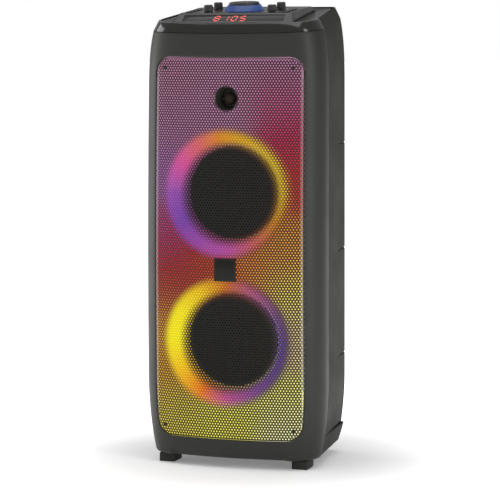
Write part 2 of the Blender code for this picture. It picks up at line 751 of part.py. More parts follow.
def on_console(x, y, above=0.0):
    """A point over the console's top, measured square to it."""
    surface = Vector((x, y, CONSOLE_TOP_Z + CONSOLE_SLOPE * (y - CONSOLE_TOP_Y)))
    return surface + CONSOLE_UP * above


def make_console():
    """The raised control housing, cut for the knobs' shafts, the keys and the display window."""
    console = console_solid("control_console")
    carve(console, console_solid("console_hollow", CONSOLE_WALL))
    places = [(x, y) for x in (-SMALL_KNOB_X, SMALL_KNOB_X) for y in SMALL_KNOB_ROWS]
    places.append((0.0, MAIN_KNOB_Y))
    radius = SHAFT_RADIUS + SHAFT_CLEARANCE
    bore = [(0, -CUT_MARGIN), (radius, -CUT_MARGIN), (radius, CUT_MARGIN), (0, CUT_MARGIN)]
    for number, (x, y) in enumerate(places):
        drill = turned(f"shaft_hole_{number}", bore, "matte_black", SHAFT_STEPS)
        carve(console, stand(drill, on_console(x, y), CONSOLE_UP))
    high = (BUTTON_WIDTH / 2 + BUTTON_CLEARANCE, BUTTON_LENGTH / 2 + BUTTON_CLEARANCE, CUT_MARGIN)
    low = tuple(-value for value in high)
    for number, (x, y) in enumerate(button_places()):
        cutter = block(f"button_hole_{number}", low, high, "matte_black")
        carve(console, tilted(cutter, on_console(x, y)))
    pocket = DISPLAY_THICKNESS + GAP
    carve(console, display_slab("window_pocket", BUTTON_CLEARANCE, pocket, DISPLAY_CUT_ABOVE))


def tilted(obj, place):
    """Puts a piece on the console with its own Z square to the console's top and its X level."""
    obj.matrix_world = Matrix.Translation(place) @ Matrix.Rotation(CONSOLE_TILT, 4, "X")
    return obj


def button_places():
    """Where the keys are: a row along each side of the console."""
    return [(x, y) for x in (-BUTTON_X, BUTTON_X) for y in BUTTON_ROWS]


def display_slab(name, grow, depth, proud):
    """A flat slab let into the slanted front of the console."""
    (y0, z0, _), (y1, z1, _) = console_section(0.0)[:2]
    angle = math.atan2(z1 - z0, y1 - y0)
    half = DISPLAY_HALF + grow
    reach = DISPLAY_DEPTH / 2 + grow
    slab = block(name, (-half, -reach, -depth), (half, reach, proud), "smoked_acrylic")
    middle = Vector((0.0, (y0 + y1) / 2, (z0 + z1) / 2))
    slab.matrix_world = Matrix.Translation(middle) @ Matrix.Rotation(angle, 4, "X")
    return slab


def make_controls():
    """The display window, the knobs with their shafts, the blue ring and the keys."""
    display_slab("display_window", 0.0, DISPLAY_THICKNESS, 0.0)
    knob = [
        (0, -SHAFT_LENGTH),
        (SHAFT_RADIUS, -SHAFT_LENGTH),
        (SHAFT_RADIUS, KNOB_LIFT),
        (LIGHT_RING_TOP - MAIN_KNOB_FOOT, KNOB_LIFT),
        (MAIN_KNOB_RADIUS - MAIN_KNOB_ROUNDING, LIGHT_RING_HEIGHT * MAIN_KNOB_FLARE),
        (MAIN_KNOB_RADIUS, LIGHT_RING_HEIGHT + MAIN_KNOB_DISH),
        (MAIN_KNOB_RADIUS, MAIN_KNOB_HEIGHT - MAIN_KNOB_ROUNDING),
        (MAIN_KNOB_RADIUS - MAIN_KNOB_ROUNDING, MAIN_KNOB_HEIGHT),
        (0, MAIN_KNOB_HEIGHT - MAIN_KNOB_DISH),
    ]
    stand(turned("main_knob", knob, "gloss_black"), on_console(0, MAIN_KNOB_Y), CONSOLE_UP)
    ring = [
        (LIGHT_RING_BASE, GAP),
        (LIGHT_RING_TOP, LIGHT_RING_HEIGHT),
        (LIGHT_RING_TOP - LIGHT_RING_LIP, LIGHT_RING_HEIGHT),
        (LIGHT_RING_TOP - LIGHT_RING_BORE, GAP),
    ]
    stand(turned("knob_light_ring", ring, "blue_light"), on_console(0, MAIN_KNOB_Y), CONSOLE_UP)
    small = [
        (0, -SHAFT_LENGTH),
        (SHAFT_RADIUS, -SHAFT_LENGTH),
        (SHAFT_RADIUS, KNOB_LIFT),
        (SMALL_KNOB_RADIUS, KNOB_LIFT),
        (SMALL_KNOB_RADIUS - SMALL_KNOB_TAPER, SMALL_KNOB_HEIGHT - SMALL_KNOB_EDGE),
        (SMALL_KNOB_RADIUS - SMALL_KNOB_ROUNDING, SMALL_KNOB_HEIGHT),
        (0, SMALL_KNOB_HEIGHT),
    ]
    for side, x in (("left", -SMALL_KNOB_X), ("right", SMALL_KNOB_X)):
        for row, y in zip(("front", "rear"), SMALL_KNOB_ROWS):
            name = f"small_knob_{side}_{row}"
            stand(turned(name, small, "matte_black", 20), on_console(x, y), CONSOLE_UP)
    for number, (x, y) in enumerate(button_places(), 1):
        button = block(
            f"button_{number}",
            (-BUTTON_WIDTH / 2, -BUTTON_LENGTH / 2, BUTTON_PROUD - BUTTON_HEIGHT),
            (BUTTON_WIDTH / 2, BUTTON_LENGTH / 2, BUTTON_PROUD),
            "rubber",
            BUTTON_BEVEL,
        )
        tilted(button, on_console(x, y))


def make_speakers():
    """Both woofers with their light rings, on the baffle, and the tweeter."""
    ring_front = FRONT_Y + RING_FRONT_SETBACK
    ring_back = ring_front + RING_DEPTH
    flange_front = ring_back + RING_THICKNESS + GAP
    baffle_front = flange_front + FLANGE_THICKNESS + GAP
    half = GRILLE_HALF - BAFFLE_SIDE_GAP
    baffle = block(
        "baffle",
        (-half, baffle_front, BODY_BOTTOM + BAFFLE_MARGIN),
        (half, baffle_front + BAFFLE_THICKNESS, GRILLE_TOP + BAFFLE_MARGIN / 2),
        "wood_board",
    )
    for place, height in WOOFER_HEIGHTS.items():
        drill = front_drill(f"baffle_hole_{place}", SURROUND_OUTER + BAFFLE_CLEARANCE, height)
        drill.location.y = baffle_front
        carve(baffle, drill)
        make_woofer(place, height, ring_front, flange_front)
    port = front_drill("baffle_tweeter_hole", TWEETER_HOLE + BAFFLE_CLEARANCE, TWEETER_HEIGHT)
    port.location.y = baffle_front
    carve(baffle, port)
    make_tweeter()


def make_woofer(place, height, ring_front, flange_front):
    """One woofer with its ring: every profile runs back from the flange's front face."""
    ring = [
        (RING_OUTER, 0),
        (RING_OUTER, RING_THICKNESS),
        (RING_INNER, RING_DEPTH + RING_THICKNESS),
        (RING_INNER, RING_DEPTH),
    ]
    face_front(turned(f"led_ring_{place}", ring, "ring_light", 48), ring_front, height)
    board_back = RING_DEPTH + RING_THICKNESS
    board_front = board_back - BOARD_THICKNESS
    board_inner = BASKET_RADIUS + BOARD_CLEARANCE
    board = [
        (RING_OUTER, board_front),
        (RING_OUTER, board_back),
        (board_inner, board_back),
        (board_inner, board_front),
    ]
    face_front(turned(f"led_board_{place}", board, "circuit_board", 32), ring_front, height)
    back = CONE_DEPTH + BASKET_BACK
    inner = SURROUND_OUTER + GAP
    bore = CONE_NECK + CONE_TRAVEL
    basket = [
        (BASKET_RADIUS, 0),
        (BASKET_RADIUS, FLANGE_THICKNESS),
        (inner + BASKET_SHEET, FLANGE_THICKNESS),
        (MAGNET_RADIUS, back + BASKET_SHEET),
        (bore, back + BASKET_SHEET),
        (bore, back),
        (MAGNET_RADIUS - BASKET_SHEET, back),
        (inner, FLANGE_THICKNESS - BASKET_LEDGE),
        (inner, 0),
    ]
    face_front(turned(f"basket_{place}", basket, "pressed_steel", 32), flange_front, height)
    middle = (SURROUND_OUTER + SURROUND_INNER) / 2
    surround = [
        (SURROUND_OUTER, 0),
        (SURROUND_OUTER, SURROUND_SHEET),
        (middle, SURROUND_SHEET - SURROUND_ROLL * SURROUND_HOLLOW),
        (SURROUND_INNER, SURROUND_SHEET),
        (SURROUND_INNER, 0),
        (middle, -SURROUND_ROLL),
    ]
    face_front(turned(f"surround_{place}", surround, "rubber", 32), flange_front, height)
    rim = SURROUND_INNER - GAP
    neck_end = back - CONE_TRAVEL - COIL_CLEARANCE
    cone = [(DUST_CAP_RADIUS * share, CONE_DEPTH - rise) for share, rise in DUST_CAP_SHAPE]
    cone += [
        (rim, 0),
        (rim, CONE_SHEET),
        (CONE_NECK, CONE_DEPTH + CONE_SHEET),
        (CONE_NECK, neck_end),
        (CONE_NECK - CONE_SHEET, neck_end),
        (CONE_NECK - CONE_SHEET, CONE_DEPTH),
        (0, CONE_DEPTH - CONE_CROWN),
    ]
    face_front(turned(f"cone_{place}", cone, "paper_cone", 32), flange_front, height)
    start = CONE_NECK + GAP
    turns = 2 * SPIDER_WAVES
    front_line = []
    for i in range(turns + 1):
        radius = start + (SPIDER_OUTER - start) * i / turns
        front_line.append((radius, CONE_DEPTH + SPIDER_SETBACK + SPIDER_WAVE_DEPTH * (i % 2)))
    back_line = [(radius, depth + SPIDER_SHEET) for radius, depth in reversed(front_line)]
    spider = turned(f"spider_{place}", front_line + back_line, "spider_cloth", 24)
    face_front(spider, flange_front, height)
    magnet_front = back + BASKET_SHEET + GAP
    magnet_back = magnet_front + MAGNET_DEPTH
    magnet = [
        (MAGNET_RADIUS, magnet_front),
        (MAGNET_RADIUS, magnet_back),
        (MAGNET_BORE, magnet_back),
        (MAGNET_BORE, magnet_front),
    ]
    face_front(turned(f"magnet_{place}", magnet, "magnet", 28), flange_front, height)


def make_tweeter():
    """The tweeter behind the round hole: its horn, dome and magnet."""
    depth = FRONT_Y + lean(TWEETER_HEIGHT) + TWEETER_SETBACK
    throat = DOME_RADIUS + THROAT_CLEARANCE
    horn = [
        (TWEETER_FLANGE, 0),
        (TWEETER_FLANGE, TWEETER_LIP),
        (throat + TWEETER_LIP, TWEETER_DEPTH),
        (throat, TWEETER_DEPTH),
        (TWEETER_HOLE, 0),
    ]
    face_front(turned("tweeter_horn", horn, "matte_black", 32), depth, TWEETER_HEIGHT)
    dome = []
    for share in (0.0, 0.45, 0.8, 1.0):
        bulge = DOME_RISE * (1 - share**2)
        dome.append((DOME_RADIUS * share, TWEETER_DEPTH - DOME_SETBACK - bulge))
    dome += [(DOME_RADIUS, TWEETER_DEPTH - DOME_FOOT), (0, TWEETER_DEPTH - DOME_FOOT)]
    face_front(turned("tweeter_dome", dome, "dome_silk", 24), depth, TWEETER_HEIGHT)
    start = TWEETER_DEPTH + GAP
    end = start + TWEETER_MAGNET_DEPTH
    magnet = [(0, start), (TWEETER_HOLE, start), (TWEETER_HOLE, end), (0, end)]
    face_front(turned("tweeter_magnet", magnet, "magnet", 24), depth, TWEETER_HEIGHT)


def make_rear_parts():
    """The metal plate on the back with the mains parts, and the bass port."""
    face = BACK_Y - WALL - GAP - PLATE_THICKNESS
    plate = block(
        "rear_plate",
        (-PLATE_WIDTH / 2, face, PLATE_BOTTOM),
        (PLATE_WIDTH / 2, face + PLATE_THICKNESS, PLATE_TOP),
        "matte_black",
    )
    for name, (x, z), (width, height) in (
        ("rocker", ROCKER_POS, ROCKER_SIZE),
        ("inlet", INLET_POS, INLET_SIZE),
    ):
        low = (x - width / 2 - GAP, face - CUT_MARGIN, z - height / 2 - GAP)
        high = (x + width / 2 + GAP, face + CUT_MARGIN, z + height / 2 + GAP)
        carve(plate, block(f"{name}_opening", low, high, "matte_black"))
    width, height = ROCKER_SIZE
    rocker_half = width / 2 - ROCKER_GAP
    end = height / 2 - ROCKER_END_GAP
    x, z = ROCKER_POS
    section = [
        (-rocker_half, -ROCKER_BACK),
        (rocker_half, -ROCKER_BACK),
        (rocker_half, ROCKER_HORN),
        (0, ROCKER_WAIST),
        (-rocker_half, ROCKER_HORN),
    ]
    rings = [[(across, out, up) for across, out in section] for up in (-end, end)]
    rocker = loft("power_rocker", rings, "gloss_black")
    rocker.location = (x, face + PLATE_THICKNESS / 2, z)
    rocker.rotation_euler = (0.0, 0.0, -ROCKER_SWING / 2)
    x, z = INLET_POS
    width, height = INLET_SIZE
    inlet = block(
        "mains_inlet",
        (x - width / 2, face - INLET_BODY_DEPTH, z - height / 2),
        (x + width / 2, face + PLATE_THICKNESS + INLET_PROUD, z + height / 2),
        "matte_black",
    )
    socket = block(
        "inlet_socket",
        (x - width / 2 + INLET_WALL, face - INLET_SOCKET_DEPTH, z - height / 2 + INLET_WALL),
        (x + width / 2 - INLET_WALL, face + CUT_MARGIN, z + height / 2 - INLET_WALL),
        "matte_black",
    )
    carve(inlet, socket)
    bore = PORT_RADIUS - PORT_WALL
    port = [
        (PORT_RADIUS + PORT_FLANGE, GAP),
        (PORT_RADIUS + PORT_FLANGE - PORT_EDGE, PORT_FLANGE_THICKNESS),
        (bore + PORT_EDGE, PORT_FLANGE_THICKNESS),
        (bore, 0.0),
        (bore, -PORT_LENGTH),
        (PORT_RADIUS, -PORT_LENGTH),
        (PORT_RADIUS, GAP),
    ]
    tube = turned("port_tube", port, "matte_black", 32)
    face_front(tube, BACK_Y, PORT_HEIGHT)


def rear_board(name, standoff, levels):
    """An upright board in front of the back wall, between two levels."""
    back = BACK_Y - WALL - standoff
    low = (-REAR_BOARD_HALF, back, levels[0])
    high = (REAR_BOARD_HALF, back + BOARD_THICKNESS, levels[1])
    block(name, low, high, "circuit_board")


def make_inside_parts():
    """Boards and the battery with its strap, behind the panels."""
    deck = deck_height(MAIN_KNOB_Y) - DECK_RECESS - DECK_THICKNESS
    half = CONSOLE_REAR_HALF - CONTROL_BOARD_MARGIN
    low = (-half, -CONTROL_BOARD_HALF, -BOARD_THICKNESS)
    control = block("control_board", low, (half, CONTROL_BOARD_HALF, 0.0), "circuit_board")
    control.location = (0.0, MAIN_KNOB_Y, deck - CONTROL_BOARD_DROP)
    control.rotation_euler = (math.atan(DECK_SLOPE), 0.0, 0.0)
    rear_board("amp_board", AMP_BOARD_STANDOFF, AMP_BOARD_LEVELS)
    rear_board("power_supply_board", SUPPLY_BOARD_STANDOFF, SUPPLY_BOARD_LEVELS)
    floor = BODY_BOTTOM + WALL + GAP
    width, length, height = BATTERY_SIZE
    low = (-width / 2, BATTERY_Y - length / 2, floor)
    high = (width / 2, BATTERY_Y + length / 2, floor + height)
    block("battery", low, high, "battery_wrap", BATTERY_ROUNDING)
    reach = length / 2 + GAP
    over = height + GAP
    outside = reach + STRAP_THICKNESS
    tab = outside + STRAP_TAB
    half_path = [(tab, 0.0), (reach, 0.0), (reach, over)]
    half_outer = [(outside, over + STRAP_THICKNESS), (outside, STRAP_THICKNESS), (tab, STRAP_THICKNESS)]
    path = [(-y, z) for y, z in half_path] + half_path[::-1]
    outer = half_outer[::-1] + [(-y, z) for y, z in half_outer]
    ends = (-STRAP_HALF_WIDTH, STRAP_HALF_WIDTH)
    rings = [[(x, y + BATTERY_Y, z + floor) for y, z in path + outer] for x in ends]
    loft("battery_bracket", rings, "pressed_steel")


def make_feet():
    """Four moulded feet: the rear pair stands closer together."""
    for end, x, y in (("front", FRONT_FOOT_X, FRONT_FOOT_Y), ("rear", REAR_FOOT_X, REAR_FOOT_Y)):
        for side, sign in (("left", -1), ("right", 1)):
            rings = []
            for height, shrink in ((0.0, FOOT_EDGE), (FOOT_EDGE_HEIGHT, 0.0), (BODY_BOTTOM - GAP, 0.0)):
                across = FOOT_WIDTH / 2 - shrink
                along = FOOT_LENGTH / 2 - shrink
                corners = ((-across, -along), (across, -along), (across, along), (-across, along))
                rings.append([(dx, dy, height) for dx, dy in corners])
            foot = loft(f"foot_{end}_{side}", rings, "rubber")
            foot.location = (sign * x, y, 0.0)


def main():
    clear_scene()
    make_front_bezel()
    make_top_trim()
    make_rear_cabinet()
    make_base_tray()
    make_top_panel()
    make_console()
    make_controls()
    make_grille()
    make_badge()
    make_light_panel()
    make_speakers()
    make_rear_parts()
    make_inside_parts()
    make_feet()


main()
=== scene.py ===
"""Party speaker: smooth surfaces, finishes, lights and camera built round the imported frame.

Metres, +Z up, the front faces -Y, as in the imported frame.
"""

import math

import bmesh
import bpy
import numpy as np
from bpy.props import FloatProperty, FloatVectorProperty, IntProperty, PointerProperty
from mathutils import Matrix, Vector


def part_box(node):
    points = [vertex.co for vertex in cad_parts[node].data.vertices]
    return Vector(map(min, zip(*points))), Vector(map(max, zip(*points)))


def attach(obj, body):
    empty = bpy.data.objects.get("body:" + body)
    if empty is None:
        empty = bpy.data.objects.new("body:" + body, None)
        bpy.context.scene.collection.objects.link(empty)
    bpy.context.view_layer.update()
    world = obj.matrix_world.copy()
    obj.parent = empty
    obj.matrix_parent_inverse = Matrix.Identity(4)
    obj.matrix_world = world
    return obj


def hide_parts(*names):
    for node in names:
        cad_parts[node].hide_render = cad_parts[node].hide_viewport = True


bl_info = {
    "name": "Party speaker",
    "version": (1, 0, 0),
    "blender": (4, 5, 0),
    "location": "3D View > Sidebar > Speaker",
    "description": "Builds the visible surfaces of a party speaker round its packed frame",
    "category": "Object",
}

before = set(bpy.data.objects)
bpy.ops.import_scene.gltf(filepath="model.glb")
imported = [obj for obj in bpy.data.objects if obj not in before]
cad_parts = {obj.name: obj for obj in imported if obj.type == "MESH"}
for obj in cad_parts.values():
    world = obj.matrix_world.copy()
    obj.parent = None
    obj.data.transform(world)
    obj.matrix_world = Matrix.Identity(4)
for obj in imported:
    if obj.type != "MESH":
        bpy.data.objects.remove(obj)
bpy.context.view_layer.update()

# Cabinet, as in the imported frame
WIDTH = 0.355
FRONT_Y = -0.131
BACK_Y = 0.131
LIP_HEIGHT = 0.8335
BODY_BOTTOM = 0.017
REAR_WIDTH = 0.3205
GAP = 0.0003
BEZEL_SIDE = 0.0295
GRILLE_HALF = WIDTH / 2 - BEZEL_SIDE
BARREL_RADIUS = 0.65
EDGE_DROP = 0.0055
EDGE_POWER = 8
LEAN = 0.009
EDGE_SLOPE = GRILLE_HALF / BARREL_RADIUS + EDGE_POWER * EDGE_DROP / GRILLE_HALF
CORNER_START = math.atan(EDGE_SLOPE)
CORNER_RADIUS = BEZEL_SIDE / (1 - math.sin(CORNER_START))
CORNER_DROP = GRILLE_HALF**2 / (2 * BARREL_RADIUS) + EDGE_DROP + CORNER_RADIUS * math.cos(CORNER_START)
SEAM_Y = FRONT_Y + LEAN + CORNER_DROP + 0.002
SEAM_STEP = 0.0012
TOP_SHAPING = 0.129
TOP_NARROWING = 0.0140
TOP_POWER = 3.2
BOTTOM_SHAPING = 0.141
BOTTOM_NARROWING = 0.0150
DECK_SLOPE = 0.142
TRIM_HEIGHT = 0.018
TRIM_CHAMFER = 0.0045
TRIM_WALL = 0.005
TRIM_LEVEL = LIP_HEIGHT - TRIM_HEIGHT
LIP_Y = FRONT_Y + LEAN + TRIM_CHAMFER
DECK_RECESS = 0.002
DECK_THICKNESS = 0.004
SHELL_WALL = 0.0034
EDGE_ROUND = 0.0007
BOTTOM_ROUND = 0.0075
BASE_HEIGHT = 0.040
BASE_FLARE = 0.0055
REAR_CORNER = 0.012
SIDE_GROOVES = (0.195, 0.399, 0.604)
GROOVE_DEPTH = 0.0016
GROOVE_WIDTH = 0.004
GROOVE_RUN = 0.095
GROOVE_FADE = 0.05
SCOOP_HALF = 0.116
SCOOP_END = 0.018
SCOOP_HEIGHT = 0.019
SCOOP_DEPTH = 0.012

# Grille and speakers
GRILLE_BOTTOM = 0.055
GRILLE_TOP = 0.771
GRILLE_CORNER = 0.028
GRILLE_RECESS = 0.001
GRILLE_CLEARANCE = 0.0008
# Width of the grille's side bands with a painted sheen: a lighter, more metallic, smoother paint in place of the
# lamps' reflection on the bent edge
PAINTED_SHEEN_BAND = 0.0085
TWEETER_HEIGHT = 0.693
TWEETER_HOLE = 0.0225
WOOFER_HEIGHTS = {"lower": 0.237, "upper": 0.515}
RING_OUTER = 0.121
RING_INNER = 0.088

# Console
CONSOLE_HALF = 0.122
CONSOLE_TOP_HALF = 0.112
CONSOLE_REAR_HALF = 0.108
CONSOLE_FACET_RUN = 0.025
CONSOLE_FACET_RISE = 0.021
CONSOLE_LENGTH = 0.180
CONSOLE_SLOPE = 0.10
CONSOLE_REAR_RUN = 0.016
CONSOLE_CLEARANCE = 0.0022
CONSOLE_TILT = math.atan(CONSOLE_SLOPE)
CONSOLE_UP = np.array([0.0, -math.sin(CONSOLE_TILT), math.cos(CONSOLE_TILT)])
CONSOLE_BACK = np.array([0.0, math.cos(CONSOLE_TILT), math.sin(CONSOLE_TILT)])
DISPLAY_HALF = 0.100
DISPLAY_DEPTH = 0.019
MAIN_KNOB_Y = -0.017
SMALL_KNOB_X = 0.064
SMALL_KNOB_ROWS = (-0.042, 0.015)
BUTTON_X = 0.096
BUTTON_ROWS = (-0.061, -0.043, -0.025, -0.007)
BUTTON_LENGTH = 0.009
BUTTON_WIDTH = 0.012
BUTTON_HEIGHT = 0.0055
BUTTON_PROUD = 0.0018

REARWARD = np.array([0.0, 1.0, 0.0])


# ---------------------------------------------------------------- shape formulas


def narrowing(level):
    """How far each side draws in: a power of the height above the upper shaping line, plus the square of the
    depth below the lower one."""
    above = np.maximum(0.0, (level - LIP_HEIGHT + TOP_SHAPING) / TOP_SHAPING)
    below = np.maximum(0.0, (BODY_BOTTOM + BOTTOM_SHAPING - level) / BOTTOM_SHAPING)
    return TOP_NARROWING * above**TOP_POWER + BOTTOM_NARROWING * below**2


def squeeze(level):
    """The share of the full width that a level has: one less twice the narrowing over the width."""
    return 1 - 2 * narrowing(level) / WIDTH


def lean(level):
    """How far the front leans back: the square of the distance from mid height."""
    middle = (LIP_HEIGHT + BODY_BOTTOM) / 2
    return LEAN * ((level - middle) / (LIP_HEIGHT - middle)) ** 2


def deck_height(y):
    """Height of the sloping rim: a straight line rising to the rear."""
    return LIP_HEIGHT + DECK_SLOPE * (y - LIP_Y)


def lifted(x, y, level):
    """Points of the wall: a level above the shaping line is raised by its share of the rim's slope."""
    share = np.clip((level - LIP_HEIGHT + TOP_SHAPING) / TOP_SHAPING, 0.0, 1.0)
    z = level + share * (deck_height(y) - LIP_HEIGHT)
    return np.stack(np.broadcast_arrays(x, y, z), -1)


def barrel_drop(x):
    """How far the front falls back inside the grille's width: x squared over twice the barrel's radius, plus an
    eighth power of x near the edge."""
    return x**2 / (2 * BARREL_RADIUS) + EDGE_DROP * (x / GRILLE_HALF) ** EDGE_POWER


def front_depth(x, level):
    """Depth of the front surface over the grille at a true x and level."""
    across = np.clip(np.abs(x) / squeeze(level), 0.0, GRILLE_HALF)
    return FRONT_Y + lean(level) + barrel_drop(across)


def front_wall(t, level, inset=0.0):
    """The front shell in plan: t runs 0 to 1 along the barrel, 1 to 2 round the corner arc and 2 to 3 straight
    back to the seam, with its sign for the side. The inset moves the wall inwards, square to itself."""
    far = np.abs(t)
    x = GRILLE_HALF * np.minimum(far, 1)
    slope = x / BARREL_RADIUS + EDGE_POWER * EDGE_DROP / GRILLE_HALF * (x / GRILLE_HALF) ** (EDGE_POWER - 1)
    turn = CORNER_START + (math.pi / 2 - CORNER_START) * np.clip(far - 1, 0, 1)
    on_arc = far > 1
    angle = np.where(on_arc, turn, np.arctan(slope))
    drop = barrel_drop(x) + np.where(on_arc, CORNER_RADIUS * (math.cos(CORNER_START) - np.cos(turn)), 0.0)
    x = x + np.where(on_arc, CORNER_RADIUS * (np.sin(turn) - math.sin(CORNER_START)), 0.0)
    straight = np.clip(far - 2, 0, 1)
    y = FRONT_Y + lean(level) + drop
    y = y + (SEAM_Y - y) * straight + inset * np.cos(angle)
    x = np.sign(t) * (x * squeeze(level) - inset * np.sin(angle))
    return x, y


def rear_wall(t, level, inset=0.0, flare=0.0, front=SEAM_Y + GAP):
    """The rear shell in plan: t runs 0 to 1 along the back, 1 to 2 round the corner arc and 2 to 3 forward along
    the side to the seam, with its sign for the side. Grooves sink in near the back and fade out forwards."""
    far = np.abs(t)
    notch = sum(np.clip(1 - np.abs(level - height) / (GROOVE_WIDTH / 2), 0, 1) for height in SIDE_GROOVES)
    side_y = BACK_Y - REAR_CORNER + (front - BACK_Y + REAR_CORNER) * np.clip(far - 2, 0, 1)
    fade = np.clip((side_y - BACK_Y + GROOVE_RUN) / GROOVE_FADE, 0, 1)
    inset = inset + GROOVE_DEPTH * notch * fade
    rear_half = REAR_WIDTH / 2 - narrowing(level) - inset + flare
    seam_half = (WIDTH / 2 - SEAM_STEP) * squeeze(level) - inset
    back = BACK_Y - inset
    turn = math.pi / 2 * np.clip(far - 1, 0, 1)
    straight = np.clip(far - 2, 0, 1)
    x = (rear_half - REAR_CORNER) * np.minimum(far, 1) + REAR_CORNER * np.sin(turn) * (far > 1)
    y = back - REAR_CORNER * (1 - np.cos(turn))
    x = x + (seam_half - rear_half) * straight
    y = y + (front - back + REAR_CORNER) * straight
    return np.sign(t) * x, y


# ---------------------------------------------------------------- mesh tools


def fill_mesh(name, vertices, face_groups):
    """A mesh from an array of points and arrays of faces, one array for each number of corners."""
    mesh = bpy.data.meshes.new(name)
    vertices = np.ascontiguousarray(vertices, np.float32).reshape(-1, 3)
    mesh.vertices.add(len(vertices))
    mesh.vertices.foreach_set("co", vertices.ravel())
    corners = np.concatenate([group.ravel() for group in face_groups]).astype(np.int32)
    sizes = np.concatenate([np.full(len(group), group.shape[1]) for group in face_groups])
    starts = np.concatenate([[0], np.cumsum(sizes)[:-1]]).astype(np.int32)
    mesh.loops.add(len(corners))
    mesh.loops.foreach_set("vertex_index", corners)
    mesh.polygons.add(len(sizes))
    mesh.polygons.foreach_set("loop_start", starts)
    mesh.update(calc_edges=True)
    return mesh


def grid_faces(rows, columns, wrap_rows=False, wrap_columns=False):
    """Four-cornered faces between neighbouring points of a grid, closed round in either direction if wanted."""
    low = np.arange(rows if wrap_rows else rows - 1)[:, None]
    here = np.arange(columns if wrap_columns else columns - 1)[None, :]
    high = (low + 1) % rows
    after = (here + 1) % columns
    faces = [low * columns + here, low * columns + after, high * columns + after, high * columns + here]
    return np.stack(faces, -1).reshape(-1, 4)


def tidy_mesh(mesh, outwards=True):
    """Joins points that coincide, drops faces with no area and turns all faces outwards."""
    shape = bmesh.new()
    shape.from_mesh(mesh)
    bmesh.ops.remove_doubles(shape, verts=shape.verts, dist=4e-6)
    bmesh.ops.dissolve_degenerate(shape, edges=shape.edges, dist=1e-7)
    if outwards:
        bmesh.ops.recalc_face_normals(shape, faces=shape.faces)
    shape.to_mesh(mesh)
    shape.free()


def open_sheet_outwards(mesh, middle):
    """Turns an open sheet so that its faces look away from a point behind it."""
    shape = bmesh.new()
    shape.from_mesh(mesh)
    bmesh.ops.recalc_face_normals(shape, faces=shape.faces)
    away = sum(face.normal.dot(face.calc_center_median() - middle) * face.calc_area() for face in shape.faces)
    if away < 0:
        bmesh.ops.reverse_faces(shape, faces=shape.faces)
    shape.to_mesh(mesh)
    shape.free()


def settle(obj):
    """Writes the result of an object's modifiers into its mesh."""
    bpy.context.view_layer.update()
    result = bpy.data.meshes.new_from_object(obj.evaluated_get(bpy.context.evaluated_depsgraph_get()))
    obj.modifiers.clear()
    obj.data = result
    result.name = obj.name


def make_piece(name, mesh, material, body="cabinet", stands_for=(), smooth=35):
    """Links a finished mesh as a piece: its material, the body it rides on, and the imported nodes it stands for."""
    obj = bpy.data.objects.new(name, mesh)
    bpy.context.scene.collection.objects.link(obj)
    mesh.materials.clear()
    mesh.materials.append(material)
    mesh.shade_smooth()
    mesh.set_sharp_from_angle(angle=math.radians(smooth))
    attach(obj, body)
    if stands_for:
        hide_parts(*stands_for)
    return obj


def thicken(obj, thickness, rounding=EDGE_ROUND):
    """Gives an open sheet its wall on the inside, with small rounded edges."""
    wall = obj.modifiers.new("Wall", "SOLIDIFY")
    wall.thickness = thickness
    wall.offset = -1
    round_edges(obj, rounding)


def round_edges(obj, width, segments=2, angle=50):
    """Rounds the sharp edges of a piece."""
    rounding = obj.modifiers.new("Rounded edges", "BEVEL")
    rounding.width = width
    rounding.segments = segments
    rounding.limit_method = "ANGLE"
    rounding.angle_limit = math.radians(angle)
    rounding.use_clamp_overlap = True


def cut(obj, cutter_mesh):
    """Cuts a closed mesh out of a piece."""
    cutter = bpy.data.objects.new("Cutter", cutter_mesh)
    bpy.context.scene.collection.objects.link(cutter)
    difference = obj.modifiers.new("Cut", "BOOLEAN")
    difference.operation = "DIFFERENCE"
    difference.solver = "EXACT"
    difference.object = cutter
    settle(obj)
    bpy.data.objects.remove(cutter)
    bpy.data.meshes.remove(cutter_mesh)


def frame_at(direction):
    """Two unit vectors square to a direction and to each other."""
    direction = np.asarray(direction, float) / np.linalg.norm(direction)
    helper = np.array([1.0, 0.0, 0.0]) if abs(direction[0]) < 0.9 else np.array([0.0, 0.0, 1.0])
    across = np.cross(helper, direction)
    across /= np.linalg.norm(across)
    return np.cross(direction, across), across, direction


def placed(points, place, direction):
    """Puts points made along local Z at a place, with their Z along a direction."""
    first, second, third = frame_at(direction)
    return np.asarray(place) + points @ np.stack([first, second, third])


def turned_points(profile, steps=72, ribs=0, rib_depth=0.0, ribbed=None):
    """A profile of radius and height carried round local Z. Ribs scale the radius of the ribbed rows by one less
    a rounded wave of the angle."""
    profile = np.asarray(profile, float)
    angle = np.linspace(0, 2 * math.pi, steps, endpoint=False)
    radius = np.repeat(profile[:, :1], steps, axis=1)
    if ribs:
        wave = np.abs(np.sin(angle * ribs / 2)) ** 0.6
        share = np.asarray(ribbed, float)[:, None]
        radius = radius - rib_depth * (1 - wave) * share
    height = np.repeat(profile[:, 1:], steps, axis=1)
    return np.stack([radius * np.cos(angle), radius * np.sin(angle), height], -1)


def turned_mesh(name, profile, place, direction, steps=72, loop=False, **ribs):
    """A turned solid: the profile is a line from axis to axis, or a closed loop clear of the axis."""
    points = placed(turned_points(profile, steps, **ribs), place, direction)
    faces = grid_faces(len(profile), steps, wrap_rows=loop, wrap_columns=True)
    mesh = fill_mesh(name, points, [faces])
    tidy_mesh(mesh)
    return mesh


